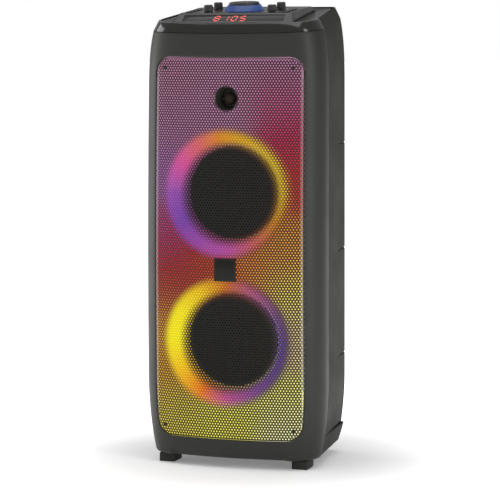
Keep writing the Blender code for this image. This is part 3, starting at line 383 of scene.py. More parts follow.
def rounded_line(points, radius, steps=4, closed=False):
    """A line through corner points, each corner replaced by an arc of that radius, or smaller where the corner's
    legs are short."""
    points = [np.asarray(point, float) for point in points]
    count = len(points)
    line = []
    for i, here in enumerate(points):
        if not closed and i in (0, count - 1):
            line.append(here)
            continue
        before, after = points[i - 1] - here, points[(i + 1) % count] - here
        reach = min(np.linalg.norm(before), np.linalg.norm(after)) / 2
        back, ahead = before / np.linalg.norm(before), after / np.linalg.norm(after)
        half = math.acos(np.clip(back @ ahead, -1, 1)) / 2
        if half > math.radians(86):
            line.append(here)
            continue
        leg = min(radius / math.tan(half), reach * 0.96)
        size = leg * math.tan(half)
        middle = back + ahead
        centre = here + middle / np.linalg.norm(middle) * (size / math.sin(half))
        start, end = here + back * leg - centre, here + ahead * leg - centre
        for share in np.linspace(0, 1, steps + 1):
            arm = start * (1 - share) + end * share
            line.append(centre + arm / np.linalg.norm(arm) * size)
    return np.array(line)


def block_mesh(name, low, high, rounding=0.0, steps=2):
    """A box between two corners whose upright edges are rounded arcs and whose level edges are rounded the same
    way: rounded outlines, drawn in near the bottom and top."""
    low, high = np.asarray(low, float), np.asarray(high, float)
    rounding = max(rounding, 1e-5)
    turn = np.linspace(0, math.pi / 2, steps + 1)
    quarter = np.stack([np.cos(turn), np.sin(turn)], -1)
    corners = []
    for signs, order in (((1, 1), 1), ((-1, 1), -1), ((-1, -1), 1), ((1, -1), -1)):
        corners.append(quarter[::order] * signs)
    outline = np.concatenate(corners)
    signs = np.sign(np.repeat([[1, 1], [-1, 1], [-1, -1], [1, -1]], steps + 1, axis=0))
    middle, half = (low + high) / 2, (high - low) / 2
    rows = []
    for side in (-1, 1):
        for angle in turn if side < 0 else turn[::-1]:
            size = rounding * math.sin(angle)
            z = middle[2] + side * (half[2] - rounding + rounding * math.cos(angle))
            xy = middle[:2] + signs * (half[:2] - rounding) + outline * size
            rows.append(np.column_stack([xy, np.full(len(xy), z)]))
    points = np.array(rows)
    count = points.shape[1]
    ends = np.array([np.arange(count)[::-1], np.arange(count) + (len(rows) - 1) * count])
    mesh = fill_mesh(name, points, [grid_faces(len(rows), count, wrap_columns=True), ends])
    tidy_mesh(mesh)
    return mesh


def move_mesh(mesh, matrix):
    """Moves a mesh by a matrix, so that its object can stay at the origin."""
    mesh.transform(matrix)
    mesh.update()
    return mesh


def joined(name, meshes):
    """One mesh made of several."""
    shape = bmesh.new()
    for mesh in meshes:
        shape.from_mesh(mesh)
        bpy.data.meshes.remove(mesh)
    result = bpy.data.meshes.new(name)
    shape.to_mesh(result)
    shape.free()
    return result


def on_console(x, y, above=0.0):
    """A point over the console's top plane, measured square to it."""
    top_y, top_z = console_profile()[1][:2]
    return np.array([x, y, top_z + CONSOLE_SLOPE * (y - top_y)]) + CONSOLE_UP * above


def console_matrix(x, y, above=0.0):
    """Places a piece made flat at the origin on the console's top plane."""
    return Matrix.Translation(Vector(on_console(x, y, above))) @ Matrix.Rotation(CONSOLE_TILT, 4, "X")


# ---------------------------------------------------------------- finishes


def tone(red, green, blue):
    """A display colour of 0 to 255 as scene light: the usual display curve, undone."""
    values = np.array([red, green, blue]) / 255
    return tuple(np.where(values <= 0.04045, values / 12.92, ((values + 0.055) / 1.055) ** 2.4))


def add_node(tree, kind, inputs=None, **settings):
    """Adds a node. An input is a value, or an output socket to join."""
    made = tree.nodes.new(kind)
    for key, value in settings.items():
        setattr(made, key, value)
    for key, value in (inputs or {}).items():
        if isinstance(value, bpy.types.NodeSocket):
            tree.links.new(value, made.inputs[key])
        else:
            made.inputs[key].default_value = value
    return made


def number(tree, operation, first, second=0.0, third=0.0, clamp=False):
    """The result of one sum on numbers."""
    inputs = {0: first, 1: second, 2: third}
    return add_node(tree, "ShaderNodeMath", inputs, operation=operation, use_clamp=clamp).outputs[0]


def scaled(tree, vector, share):
    """A colour or vector times a number."""
    return add_node(tree, "ShaderNodeVectorMath", {0: vector, "Scale": share}, operation="SCALE").outputs[0]


def richer(tree, colour, saturation, brightness):
    """A colour with its saturation and brightness multiplied."""
    inputs = {"Saturation": saturation, "Value": brightness, "Color": colour}
    return add_node(tree, "ShaderNodeHueSaturation", inputs).outputs[0]


def mixed(tree, share, first, second):
    """Two colours mixed by a share."""
    inputs = {"Factor": share, 6: first, 7: second}
    return add_node(tree, "ShaderNodeMix", inputs, data_type="RGBA").outputs[2]


def smooth_step(tree, value, start, end):
    """0 up to start, 1 from end on, and a smooth rise between them."""
    inputs = {"Value": value, "From Min": start, "From Max": end}
    return add_node(tree, "ShaderNodeMapRange", inputs, interpolation_type="SMOOTHSTEP").outputs["Result"]


def new_finish(name):
    """A new material and its shader."""
    material = bpy.data.materials.new(name)
    material.use_nodes = True
    return material, material.node_tree, material.node_tree.nodes["Principled BSDF"]


def place_of(tree):
    """Object coordinates, which are the frame's metres."""
    return add_node(tree, "ShaderNodeTexCoord").outputs["Object"]


def noise(tree, scale, detail=2.0, stretch=None, place=None):
    """Noise of a scale per metre, stretched along the axes if wanted."""
    place = place or place_of(tree)
    if stretch:
        place = add_node(tree, "ShaderNodeMapping", {"Vector": place, "Scale": stretch}).outputs[0]
    made = add_node(tree, "ShaderNodeTexNoise", {"Vector": place, "Scale": scale, "Detail": detail})
    return made.outputs["Fac"]


def bump(tree, height, strength, distance):
    """A surface relief from a height."""
    inputs = {"Height": height, "Strength": strength, "Distance": distance}
    return add_node(tree, "ShaderNodeBump", inputs).outputs["Normal"]


def plain_finish(name, colour, roughness, metallic=0.0, grain=900.0, relief=0.25, depth=0.0002, vary=0.12,
                 coat=0.0, specular=0.5, stretch=None):
    """A moulded, painted or pressed surface: fine grain as relief, and slow patches that shift the colour and the
    roughness a little."""
    material = bpy.data.materials.get(name)
    if material:
        return material
    material, tree, shader = new_finish(name)
    patches = noise(tree, 14.0, 3.0)
    fine = noise(tree, grain, 2.0, stretch)
    dark = (*(value * (1 - vary) for value in colour), 1.0)
    light = (*(value * (1 + vary) for value in colour), 1.0)
    blend = number(tree, "MULTIPLY_ADD", fine, 0.5, number(tree, "MULTIPLY", patches, 0.5))
    tree.links.new(mixed(tree, blend, dark, light), shader.inputs["Base Color"])
    rough = add_node(tree, "ShaderNodeMapRange", {"Value": patches, "From Min": 0.3, "From Max": 0.7,
                     "To Min": roughness * (1 - vary), "To Max": min(1.0, roughness * (1 + vary))})
    tree.links.new(rough.outputs["Result"], shader.inputs["Roughness"])
    if relief:
        tree.links.new(bump(tree, fine, relief, depth), shader.inputs["Normal"])
    shader.inputs["Metallic"].default_value = metallic
    shader.inputs["Specular IOR Level"].default_value = specular
    if coat:
        shader.inputs["Coat Weight"].default_value = coat
        shader.inputs["Coat Roughness"].default_value = 0.06
    return material


def ribbed_finish(name, colour, roughness, pitch, metallic=0.0, relief=0.4):
    """A finish with round ripples about the front-to-back line through each woofer's height."""
    material, tree, shader = new_finish(name)
    parts = add_node(tree, "ShaderNodeSeparateXYZ", {0: place_of(tree)})
    middle = (WOOFER_HEIGHTS["lower"] + WOOFER_HEIGHTS["upper"]) / 2
    half = (WOOFER_HEIGHTS["upper"] - WOOFER_HEIGHTS["lower"]) / 2
    height = number(tree, "ABSOLUTE", number(tree, "SUBTRACT", parts.outputs[2], middle))
    height = number(tree, "SUBTRACT", height, half)
    radius = number(tree, "SQRT", number(tree, "ADD", number(tree, "MULTIPLY", parts.outputs[0], parts.outputs[0]),
                                         number(tree, "MULTIPLY", height, height)))
    wave = number(tree, "SINE", number(tree, "MULTIPLY", radius, 2 * math.pi / pitch))
    pulp = noise(tree, 700.0, 3.0)
    together = number(tree, "ADD", number(tree, "MULTIPLY", wave, 0.5), pulp)
    dark, light = (*(v * 0.8 for v in colour), 1.0), (*(v * 1.25 for v in colour), 1.0)
    tree.links.new(mixed(tree, pulp, dark, light), shader.inputs["Base Color"])
    tree.links.new(bump(tree, together, relief, 0.0004), shader.inputs["Normal"])
    tree.links.new(smooth_step(tree, pulp, -0.5, 1.5), shader.inputs["Roughness"])
    shader.inputs["Metallic"].default_value = metallic
    shader.inputs["Roughness"].default_value = roughness
    return material


# Colours of the light: clockwise from the top of each ring, 30 degrees apart
RING_HUES = {
    "upper": ((224, 160, 66), (224, 188, 90), (230, 207, 92), (224, 196, 90), (212, 150, 78), (206, 116, 110),
              (184, 96, 165), (150, 86, 163), (116, 80, 160), (140, 86, 162), (205, 102, 156), (214, 120, 118)),
    "lower": ((198, 116, 78), (180, 102, 146), (124, 82, 148), (92, 72, 150), (100, 74, 146), (132, 84, 150),
              (188, 98, 150), (224, 130, 72), (236, 192, 52), (240, 228, 68), (240, 226, 64), (232, 192, 60)),
}
# Lit field behind the grille: x, z, tone of the sheet's glow, tone of the light in the holes
FIELD = (
    (-0.122, 0.758, (76, 40, 60), (190, 146, 170)),
    (0.0, 0.758, (73, 38, 60), (194, 152, 176)),
    (0.115, 0.758, (67, 33, 54), (184, 146, 170)),
    (-0.122, 0.651, (78, 43, 66), (186, 142, 168)),
    (0.0, 0.67, (74, 40, 62), (194, 150, 176)),
    (0.112, 0.687, (82, 23, 50), (196, 122, 154)),
    (0.125, 0.616, (98, 16, 34), (186, 82, 106)),
    (-0.128, 0.545, (91, 52, 90), (166, 118, 170)),
    (0.135, 0.541, (100, 24, 20), (190, 90, 84)),
    (-0.125, 0.438, (99, 28, 60), (178, 92, 128)),
    (-0.122, 0.365, (108, 26, 26), (172, 74, 74)),
    (-0.045, 0.375, (110, 28, 20), (184, 88, 70)),
    (0.045, 0.375, (95, 42, 7), (226, 160, 116)),
    (0.120, 0.413, (82, 40, 1), (230, 180, 120)),
    (0.120, 0.332, (68, 55, 0), (250, 236, 150)),
    (-0.136, 0.318, (106, 28, 24), (170, 72, 60)),
    (-0.132, 0.262, (126, 74, 32), (226, 196, 74)),
    (-0.130, 0.180, (108, 72, 14), (220, 176, 104)),
    (-0.115, 0.105, (86, 74, 5), (238, 226, 140)),
    (0.0, 0.083, (81, 76, 3), (250, 246, 150)),
    (0.125, 0.250, (77, 60, 42), (226, 212, 170)),
    (0.118, 0.115, (70, 66, 1), (254, 250, 165)),
    (0.132, 0.068, (74, 72, 30), (255, 255, 236)),
)
FIELD_SPREAD = 0.052
SHEET_RING_SHARE = 0.66
SHEET_SIDE_SHARE = 0.24
RING_SATURATION = 1.14
RING_BRIGHTNESS = 0.93
FIELD_SATURATION = 1.25
FIELD_BRIGHTNESS = 0.94
# Centre shift and radius change of the glow on the sheet, at its inner and outer edge
GLOW_INNER = (0.007, 0.004)
GLOW_OUTER = (-0.005, -0.004)


def distance_from(tree, across, up):
    """The root of the sum of two squares."""
    squares = number(tree, "ADD", number(tree, "MULTIPLY", across, across), number(tree, "MULTIPLY", up, up))
    return number(tree, "SQRT", squares)


def light_colours():
    """A node group with the colours of the lights by place: the glow that the grille's sheet takes up, the light
    seen through its holes, and the share of ring light. The field is a mean of the listed colours, each weighted
    by the exponential of minus the square of its distance over the spread. Ring colours follow the angle."""
    group = bpy.data.node_groups.get("Light colours")
    if group:
        return group
    group = bpy.data.node_groups.new("Light colours", "ShaderNodeTree")
    sockets = {"Sheet": "Color", "Holes": "Color", "Ring share": "Float", "Inside ring": "Float",
               "Ring fade": "Float"}
    for socket, kind in sockets.items():
        group.interface.new_socket(socket, in_out="OUTPUT", socket_type="NodeSocket" + kind)
    parts = add_node(group, "ShaderNodeSeparateXYZ", {0: place_of(group)})
    x, z = parts.outputs[0], parts.outputs[2]
    flat = add_node(group, "ShaderNodeCombineXYZ", {0: x, 2: z}).outputs[0]
    total, sums = None, [None, None]
    for across, height, *tones in FIELD:
        ends = {0: flat, 1: (across, 0.0, height)}
        distance = add_node(group, "ShaderNodeVectorMath", ends, operation="DISTANCE").outputs["Value"]
        reach = number(group, "DIVIDE", distance, FIELD_SPREAD)
        square = number(group, "MULTIPLY", reach, reach)
        weight = number(group, "EXPONENT", number(group, "MULTIPLY", square, -1.0))
        total = weight if total is None else number(group, "ADD", total, weight)
        for i, colour in enumerate(tones):
            part = scaled(group, tone(*colour), weight)
            if sums[i]:
                part = add_node(group, "ShaderNodeVectorMath", {0: sums[i], 1: part}, operation="ADD").outputs[0]
            sums[i] = part
    share = number(group, "DIVIDE", 1.0, total)
    sheet, holes = (scaled(group, colours, share) for colours in sums)
    holes = richer(group, holes, FIELD_SATURATION, FIELD_BRIGHTNESS)
    ring_share = inside = fade = None
    for place, height in WOOFER_HEIGHTS.items():
        rise = number(group, "SUBTRACT", z, height)
        radius = distance_from(group, x, rise)
        angle = number(group, "DIVIDE", number(group, "ARCTAN2", x, rise), 2 * math.pi)
        angle = number(group, "FRACT", number(group, "ADD", angle, 1.0))
        ramp = add_node(group, "ShaderNodeValToRGB", {0: angle})
        hues = RING_HUES[place]
        stops = ramp.color_ramp.elements
        stops[0].color = (*tone(*hues[0]), 1.0)
        stops[1].color = (*tone(*hues[0]), 1.0)
        for i, hue in enumerate(hues[1:], 1):
            stops.new(i / len(hues)).color = (*tone(*hue), 1.0)
        rich = richer(group, ramp.outputs["Color"], RING_SATURATION, RING_BRIGHTNESS)
        rise_in = smooth_step(group, radius, RING_INNER - 0.010, RING_INNER + 0.012)
        fall_out = smooth_step(group, radius, RING_OUTER - 0.012, RING_OUTER + 0.010)
        lit = number(group, "MULTIPLY", rise_in, number(group, "SUBTRACT", 1.0, fall_out))
        from_inner = distance_from(group, number(group, "SUBTRACT", x, GLOW_INNER[0]), rise)
        from_outer = distance_from(group, number(group, "SUBTRACT", x, GLOW_OUTER[0]), rise)
        inner, outer = RING_INNER + GLOW_INNER[1], RING_OUTER + GLOW_OUTER[1]
        glow_in = smooth_step(group, from_inner, inner - 0.014, inner + 0.012)
        glow_out = smooth_step(group, from_outer, outer - 0.010, outer + 0.010)
        on_sheet = number(group, "MULTIPLY", glow_in, number(group, "SUBTRACT", 1.0, glow_out))
        taken = number(group, "MULTIPLY_ADD", x, -SHEET_SIDE_SHARE / RING_OUTER, SHEET_RING_SHARE)
        sheet = mixed(group, on_sheet, sheet, scaled(group, rich, taken))
        holes = mixed(group, lit, holes, rich)
        ring_share = on_sheet if ring_share is None else number(group, "MAXIMUM", ring_share, on_sheet)
        core = number(group, "SUBTRACT", 1.0, glow_in)
        inside = core if inside is None else number(group, "MAXIMUM", inside, core)
        fade = rise_in if fade is None else number(group, "MINIMUM", fade, rise_in)
    inputs = {"Sheet": sheet, "Holes": holes, "Ring share": ring_share, "Inside ring": inside, "Ring fade": fade}
    add_node(group, "NodeGroupOutput", inputs)
    return group


def light_finish(name, strength):
    """A lit diffuser, which gives off the colour that belongs to its place."""
    material, tree, shader = new_finish(name)
    colours = add_node(tree, "ShaderNodeGroup", node_tree=light_colours())
    shade = noise(tree, 60.0, 2.0)
    glow = number(tree, "MULTIPLY", number(tree, "MULTIPLY_ADD", shade, 0.24, 0.88), strength)
    glow = number(tree, "MULTIPLY", glow, colours.outputs["Ring fade"])
    tree.links.new(colours.outputs["Holes"], shader.inputs["Emission Color"])
    tree.links.new(glow, shader.inputs["Emission Strength"])
    shader.inputs["Base Color"].default_value = (*tone(120, 116, 116), 1.0)
    shader.inputs["Roughness"].default_value = 0.5
    return material


def grille_finish(strength, ring_strength):
    """Painted steel with a faint grain, with a painted glow of the light behind it, most of all in front of the
    rings, and a painted sheen: lighter, smoother, more metallic bands at its side edges.
    """
    material, tree, shader = new_finish("Perforated steel, painted sheen and glow")
    colours = add_node(tree, "ShaderNodeGroup", node_tree=light_colours())
    fine = noise(tree, 1400.0, 2.0)
    dark, light = (*tone(19, 19, 17), 1.0), (*tone(28, 28, 25), 1.0)
    across = add_node(tree, "ShaderNodeSeparateXYZ", {0: place_of(tree)}).outputs[0]
    across = number(tree, "ABSOLUTE", across)
    # Painted sheen: the side bands get a lighter, more metallic and smoother paint, in place of the lamps'
    # reflection on the bent edge.
    edge = smooth_step(tree, across, GRILLE_HALF - PAINTED_SHEEN_BAND, GRILLE_HALF - PAINTED_SHEEN_BAND / 2)
    paint = mixed(tree, fine, dark, light)
    tree.links.new(mixed(tree, edge, paint, (*tone(112, 112, 110), 1.0)), shader.inputs["Base Color"])
    tree.links.new(number(tree, "MULTIPLY_ADD", edge, 0.8, 0.2), shader.inputs["Metallic"])
    tree.links.new(bump(tree, fine, 0.2, 0.0001), shader.inputs["Normal"])
    # Painted light: the steel sheet itself gives off the LED colours, most of all in front of the rings and not at
    # all over the cones.
    outside = number(tree, "SUBTRACT", 1.0, colours.outputs["Inside ring"], clamp=True)
    gain = number(tree, "MULTIPLY_ADD", colours.outputs["Ring share"], ring_strength - strength, strength)
    tree.links.new(colours.outputs["Sheet"], shader.inputs["Emission Color"])
    tree.links.new(number(tree, "MULTIPLY", gain, outside), shader.inputs["Emission Strength"])
    tree.links.new(number(tree, "MULTIPLY_ADD", edge, -0.25, 0.6), shader.inputs["Roughness"])
    shader.inputs["Specular IOR Level"].default_value = 0.22
    return material


def white_print():
    """The printed marks on the deck, the knobs and the keys."""
    return plain_finish("White print", tone(214, 214, 210), 0.5, grain=400.0, relief=0.05, vary=0.05)


def glow_finish(name, colour, strength, base=None, vary=0.15):
    """A lit plastic with slow patches in its light."""
    material, tree, shader = new_finish(name)
    patches = noise(tree, 120.0, 2.0)
    level = number(tree, "MULTIPLY_ADD", patches, 2 * vary * strength, strength * (1 - vary))
    tree.links.new(level, shader.inputs["Emission Strength"])
    shader.inputs["Emission Color"].default_value = (*colour, 1.0)
    shader.inputs["Base Color"].default_value = (*(base or colour), 1.0)
    shader.inputs["Roughness"].default_value = 0.35
    return material


def black_plastic():
    """The fine-grained moulded plastic of the shells."""
    colour = tuple(bpy.context.scene.speaker.shell_colour)
    return plain_finish("Moulded black plastic", colour, 0.46, grain=1500.0, relief=0.3, depth=0.00015, vary=0.08,
                        specular=0.35)


def rear_plastic():
    """The duller moulded plastic of the rear shell and the base."""
    colour = tuple(bpy.context.scene.speaker.shell_colour)
    return plain_finish("Dull black plastic", colour, 0.6, grain=1500.0, relief=0.3, depth=0.00015, vary=0.08,
                        specular=0.12)


def gloss_plastic():
    """The polished plastic of the band and the deck."""
    colour = tuple(bpy.context.scene.speaker.gloss_colour)
    return plain_finish("Polished black plastic", colour, 0.11, grain=260.0, relief=0.02, vary=0.2, coat=0.5)


def satin_plastic():
    """The satin plastic of the console."""
    colour = tuple(bpy.context.scene.speaker.gloss_colour)
    return plain_finish("Satin black plastic", colour, 0.28, grain=900.0, relief=0.08, vary=0.15)


def rubber():
    """Soft black rubber for feet, keys and surrounds."""
    return plain_finish("Black rubber", tone(34, 34, 31), 0.72, grain=1100.0, relief=0.35, vary=0.1)


def knob_plastic():
    """The dark plastic of the knobs."""
    return plain_finish("Knob plastic", tone(30, 31, 31), 0.38, grain=1300.0, relief=0.15, vary=0.1)


def zinc_steel():
    """Plated steel for screws and frames."""
    return plain_finish("Plated steel", tone(120, 120, 122), 0.34, metallic=0.9, grain=500.0, relief=0.1,
                        vary=0.12)


def dark_steel():
    """Blackened steel for the grille's screws and rim."""
    return plain_finish("Blackened steel", tone(44, 44, 42), 0.36, metallic=0.6, grain=900.0, relief=0.12,
                        vary=0.15)


# ---------------------------------------------------------------- shells


def console_profile():
    """Side profile of the console, front to back, as depth, height and half width."""
    front_y = float(FRONT_Y + lean(LIP_HEIGHT) + barrel_drop(CONSOLE_HALF / squeeze(LIP_HEIGHT)))
    front_y += TRIM_CHAMFER + TRIM_WALL + CONSOLE_CLEARANCE
    top_y, top_z = front_y + CONSOLE_FACET_RUN, LIP_HEIGHT + CONSOLE_FACET_RISE
    end_y = front_y + CONSOLE_LENGTH
    top_end = end_y - CONSOLE_REAR_RUN
    floor = GAP - DECK_RECESS
    return [
        (front_y, deck_height(front_y) + floor, CONSOLE_HALF),
        (top_y, top_z, CONSOLE_TOP_HALF),
        (top_end, top_z + CONSOLE_SLOPE * (top_end - top_y), CONSOLE_REAR_HALF),
        (end_y, deck_height(end_y) + floor, CONSOLE_REAR_HALF + 0.004),
    ]


def wall_shares(start, turn_steps, straight_steps):
    """Positions along a wall, both sides: the given ones, then the corner arc, then the straight."""
    half = np.concatenate([start, np.linspace(1, 2, turn_steps + 1)[1:], np.linspace(2, 3, straight_steps + 1)[1:]])
    return np.unique(np.concatenate([-half, half]))


def corner_patch(side, end):
    """Points between the grille opening's round corner and the square corner of the grid round it, as x over
    the grille's half width and level: the arc mixed with the two straight sides."""
    steps = 8
    centre_x = GRILLE_HALF - GRILLE_CORNER
    centre_z = (GRILLE_BOTTOM + GRILLE_CORNER) if end < 0 else (GRILLE_TOP - GRILLE_CORNER)
    turn = np.linspace(0, math.pi / 2, 2 * steps + 1)
    run = np.linspace(0, 1, 2 * steps + 1)
    arc = np.stack([np.cos(turn), np.sin(turn)], -1)
    square = np.stack([np.clip(2 - 2 * run, 0, 1), np.clip(2 * run, 0, 1)], -1)
    mix = np.linspace(0, 1, 5)[:, None, None]
    points = arc * (1 - mix) + square * mix
    x = side * (centre_x + GRILLE_CORNER * points[..., 0])
    level = centre_z + end * GRILLE_CORNER * points[..., 1]
    return x / GRILLE_HALF, level


def scooped(x, y, level):
    """Pushes the wall back below a slanted facet: its depth grows downwards from a boundary that falls off in a
    quarter ellipse at each end."""
    beyond = np.clip((np.abs(x) - SCOOP_HALF + SCOOP_END) / SCOOP_END, 0, 1)
    boundary = SCOOP_HEIGHT * np.sqrt(1 - beyond**2)
    return y + SCOOP_DEPTH * np.clip((boundary - (level - BODY_BOTTOM)) / SCOOP_HEIGHT, 0, 1)


def bottom_rounding(steps=6):
    """Levels and insets of the rounded lower edge: a quarter circle from the floor up."""
    turn = np.linspace(0, math.pi / 2, steps + 1)
    return BODY_BOTTOM + BOTTOM_ROUND * (1 - np.cos(turn)), BOTTOM_ROUND * (1 - np.sin(turn))


def front_shell_mesh():
    """The front shell as an open sheet: a grid of wall positions by levels, with the grille opening left out and
    its round corners patched, and a fan that closes the underside."""
    flat = GRILLE_HALF - GRILLE_CORNER
    start = np.concatenate([np.linspace(0, flat, 26), np.linspace(flat, GRILLE_HALF, 9)[1:]]) / GRILLE_HALF
    shares = wall_shares(start, 18, 4)
    low, insets = bottom_rounding()
    levels = np.concatenate([
        low,
        np.linspace(BODY_BOTTOM + BOTTOM_ROUND, BODY_BOTTOM + SCOOP_HEIGHT, 9)[1:],
        np.linspace(BODY_BOTTOM + SCOOP_HEIGHT + 0.001, GRILLE_BOTTOM, 7),
        np.linspace(GRILLE_BOTTOM, GRILLE_BOTTOM + GRILLE_CORNER, 9)[1:],
        np.linspace(GRILLE_BOTTOM + GRILLE_CORNER, GRILLE_TOP - GRILLE_CORNER, 80)[1:],
        np.linspace(GRILLE_TOP - GRILLE_CORNER, GRILLE_TOP, 9)[1:],
        np.linspace(GRILLE_TOP, TRIM_LEVEL, 11)[1:],
    ])
    inset = np.concatenate([insets, np.zeros(len(levels) - len(insets))])[:, None]
    t, level = shares[None, :], levels[:, None]
    x, y = front_wall(t, level, inset)
    y = np.where(np.abs(t) < 1, scooped(x, y, level), y)
    wall = lifted(x, y, level)
    faces = grid_faces(len(levels), len(shares))
    rows, columns = np.divmod(np.arange(len(faces)), len(shares) - 1)
    mid_t, mid_level = (shares[columns] + shares[columns + 1]) / 2, (levels[rows] + levels[rows + 1]) / 2
    opening = (np.abs(mid_t) < 1) & (mid_level > GRILLE_BOTTOM) & (mid_level < GRILLE_TOP)
    parts, groups = [wall.reshape(-1, 3)], [faces[~opening]]
    count = len(parts[0])
    for side in (-1, 1):
        for end in (-1, 1):
            patch_t, patch_level = corner_patch(side, end)
            patch = lifted(*front_wall(patch_t, patch_level), patch_level)
            groups.append(grid_faces(*patch_t.shape) + count)
            parts.append(patch.reshape(-1, 3))
            count += len(parts[-1])
    edge = wall[0]
    middle = np.array([0.0, SEAM_Y, BODY_BOTTOM])
    fan = middle + (edge - middle) * np.linspace(1, 0, 4)[:, None, None]
    groups.append(grid_faces(*fan.shape[:2]) + count)
    parts.append(fan.reshape(-1, 3))
    mesh = fill_mesh("front_shell", np.concatenate(parts), groups)
    tidy_mesh(mesh, outwards=False)
    open_sheet_outwards(mesh, Vector((0.0, 0.0, LIP_HEIGHT / 2)))
    return mesh


def rear_shares():
    """Positions along the rear wall: the back, its round corners and the sides."""
    return wall_shares(np.linspace(0, 1, 20), 10, 26)


def rear_shell_mesh():
    """The rear shell as an open sheet: a grid of wall positions by levels, with rows at each groove and the
    slanted top edge."""
    grooves = [height + step * GROOVE_WIDTH for height in SIDE_GROOVES for step in (-0.5, -0.25, 0, 0.25, 0.5)]
    levels = np.unique(np.concatenate([
        np.linspace(BODY_BOTTOM + BASE_HEIGHT + GAP, TRIM_LEVEL, 76), grooves, [LIP_HEIGHT - 0.006, LIP_HEIGHT]]))
    t, level = rear_shares()[None, :], levels[:, None]
    inset = TRIM_CHAMFER * np.clip((level - TRIM_LEVEL) / TRIM_HEIGHT, 0, 1)
    points = lifted(*rear_wall(t, level, inset), level)
    mesh = fill_mesh("rear_shell", points, [grid_faces(*points.shape[:2])])
    open_sheet_outwards(mesh, Vector((0.0, 0.0, LIP_HEIGHT / 2)))
    return mesh


def base_shell_mesh():
    """The base as an open sheet: the rear wall's outline flaring upwards, a rounded lower edge and a fan that
    closes the underside."""
    low, insets = bottom_rounding()
    top = BODY_BOTTOM + BASE_HEIGHT
    levels = np.concatenate([low, np.linspace(low[-1], top, 8)[1:]])
    inset = np.concatenate([insets, np.zeros(7)])[:, None]
    flare = BASE_FLARE * ((levels - BODY_BOTTOM) / BASE_HEIGHT)[:, None]
    x, y = rear_wall(rear_shares()[None, :], levels[:, None], inset, flare)
    wall = np.stack(np.broadcast_arrays(x, y, levels[:, None]), -1)
    middle = np.array([0.0, SEAM_Y + GAP, BODY_BOTTOM])
    fan = middle + (wall[0] - middle) * np.linspace(0, 1, 4)[:-1, None, None]
    points = np.concatenate([fan, wall])
    mesh = fill_mesh("base_shell", points, [grid_faces(*points.shape[:2])])
    tidy_mesh(mesh, outwards=False)
    open_sheet_outwards(mesh, Vector((0.0, 0.0, LIP_HEIGHT / 2)))
    return mesh


def top_band_mesh():
    """The band round the upper edge: a rounded section of level and inset carried along the front wall."""
    section = [(TRIM_LEVEL + GAP, 0.0), (LIP_HEIGHT, TRIM_CHAMFER), (LIP_HEIGHT, TRIM_CHAMFER + TRIM_WALL),
               (TRIM_LEVEL + GAP, TRIM_WALL)]
    section = rounded_line(section, 0.0009, 3, closed=True)
    shares = wall_shares(np.linspace(0, 1, 40), 18, 4)
    x, y = front_wall(shares[:, None], section[None, :, 0], section[None, :, 1])
    points = lifted(x, y, section[None, :, 0])
    columns = len(section)
    ends = np.array([np.arange(columns)[::-1], np.arange(columns) + (len(shares) - 1) * columns])
    mesh = fill_mesh("top_band", points, [grid_faces(len(shares), columns, wrap_columns=True), ends])
    tidy_mesh(mesh)
    return mesh


def deck_mesh():
    """The deck: the rim's inner outline at its slope, fanned to a middle point above and below."""
    inset = TRIM_CHAMFER + TRIM_WALL + GAP
    front = np.stack(front_wall(wall_shares(np.linspace(0, 1, 30), 12, 1)[1:-1], LIP_HEIGHT, inset), -1)
    rear = np.stack(rear_wall(wall_shares(np.linspace(0, 1, 12), 8, 8)[::-1][1:-1], LIP_HEIGHT, inset), -1)
    outline = np.concatenate([front, rear])
    middle = outline.mean(0)
    rows = []
    for share, drop in ((0, DECK_THICKNESS), (1, DECK_THICKNESS), (1, 0.0004), (0.997, 0), (0, 0)):
        flat = middle + (outline - middle) * share
        rows.append(np.column_stack([flat, deck_height(flat[:, 1]) - DECK_RECESS - drop]))
    points = np.array(rows)
    mesh = fill_mesh("deck", points, [grid_faces(*points.shape[:2], wrap_columns=True)])
    tidy_mesh(mesh)
    return mesh


def console_mesh(name, shrink=0.0):
    """The console: its side profile and half widths, joined as a faceted solid, smaller by a wall when it serves
    as the cutter of its hollow."""
    (y0, z0, w0), (y1, z1, w1), (y2, z2, w2), (y3, z3, w3) = console_profile()
    if shrink:
        low, top = 0.02, 1.2 * shrink
        y0, z0, w0 = y0 + 2 * shrink, z0 - low, w0 - 2 * shrink
        y1, z1, w1 = y1 + 0.7 * shrink, z1 - shrink, w1 - top
        y2, z2, w2 = y2 - 0.7 * shrink, z2 - shrink, w2 - top
        y3, z3, w3 = y3 - 2 * shrink, z3 - low, w3 - 2 * shrink
    under = [z0 + (z3 - z0) * (y - y0) / (y3 - y0) for y in (y1, y2)]
    right = [(w0, y0, z0), (w0 - 0.004, y1, under[0]), (w3, y2, under[1]), (w3, y3, z3), (w1, y1, z1),
             (w2, y2, z2)]
    points = np.array(right + [(-x, y, z) for x, y, z in right])
    threes = np.array([(0, 1, 4), (2, 3, 5), (6, 10, 7), (8, 11, 9)])
    fours = [(1, 2, 5, 4), (7, 10, 11, 8)]
    fours += [(a, b, b + 6, a + 6) for a, b in ((0, 1), (1, 2), (2, 3), (3, 5), (5, 4), (4, 0))]
    mesh = fill_mesh(name, points, [threes, np.array(fours)])
    tidy_mesh(mesh)
    return mesh


def display_matrix():
    """Places a piece made flat at the origin on the slanted strip in front of the console."""
    (y0, z0, _), (y1, z1, _) = console_profile()[:2]
    angle = math.atan2(z1 - z0, y1 - y0)
    middle = Vector((0.0, (y0 + y1) / 2, (z0 + z1) / 2))
    return Matrix.Translation(middle) @ Matrix.Rotation(angle, 4, "X")


# ---------------------------------------------------------------- grille


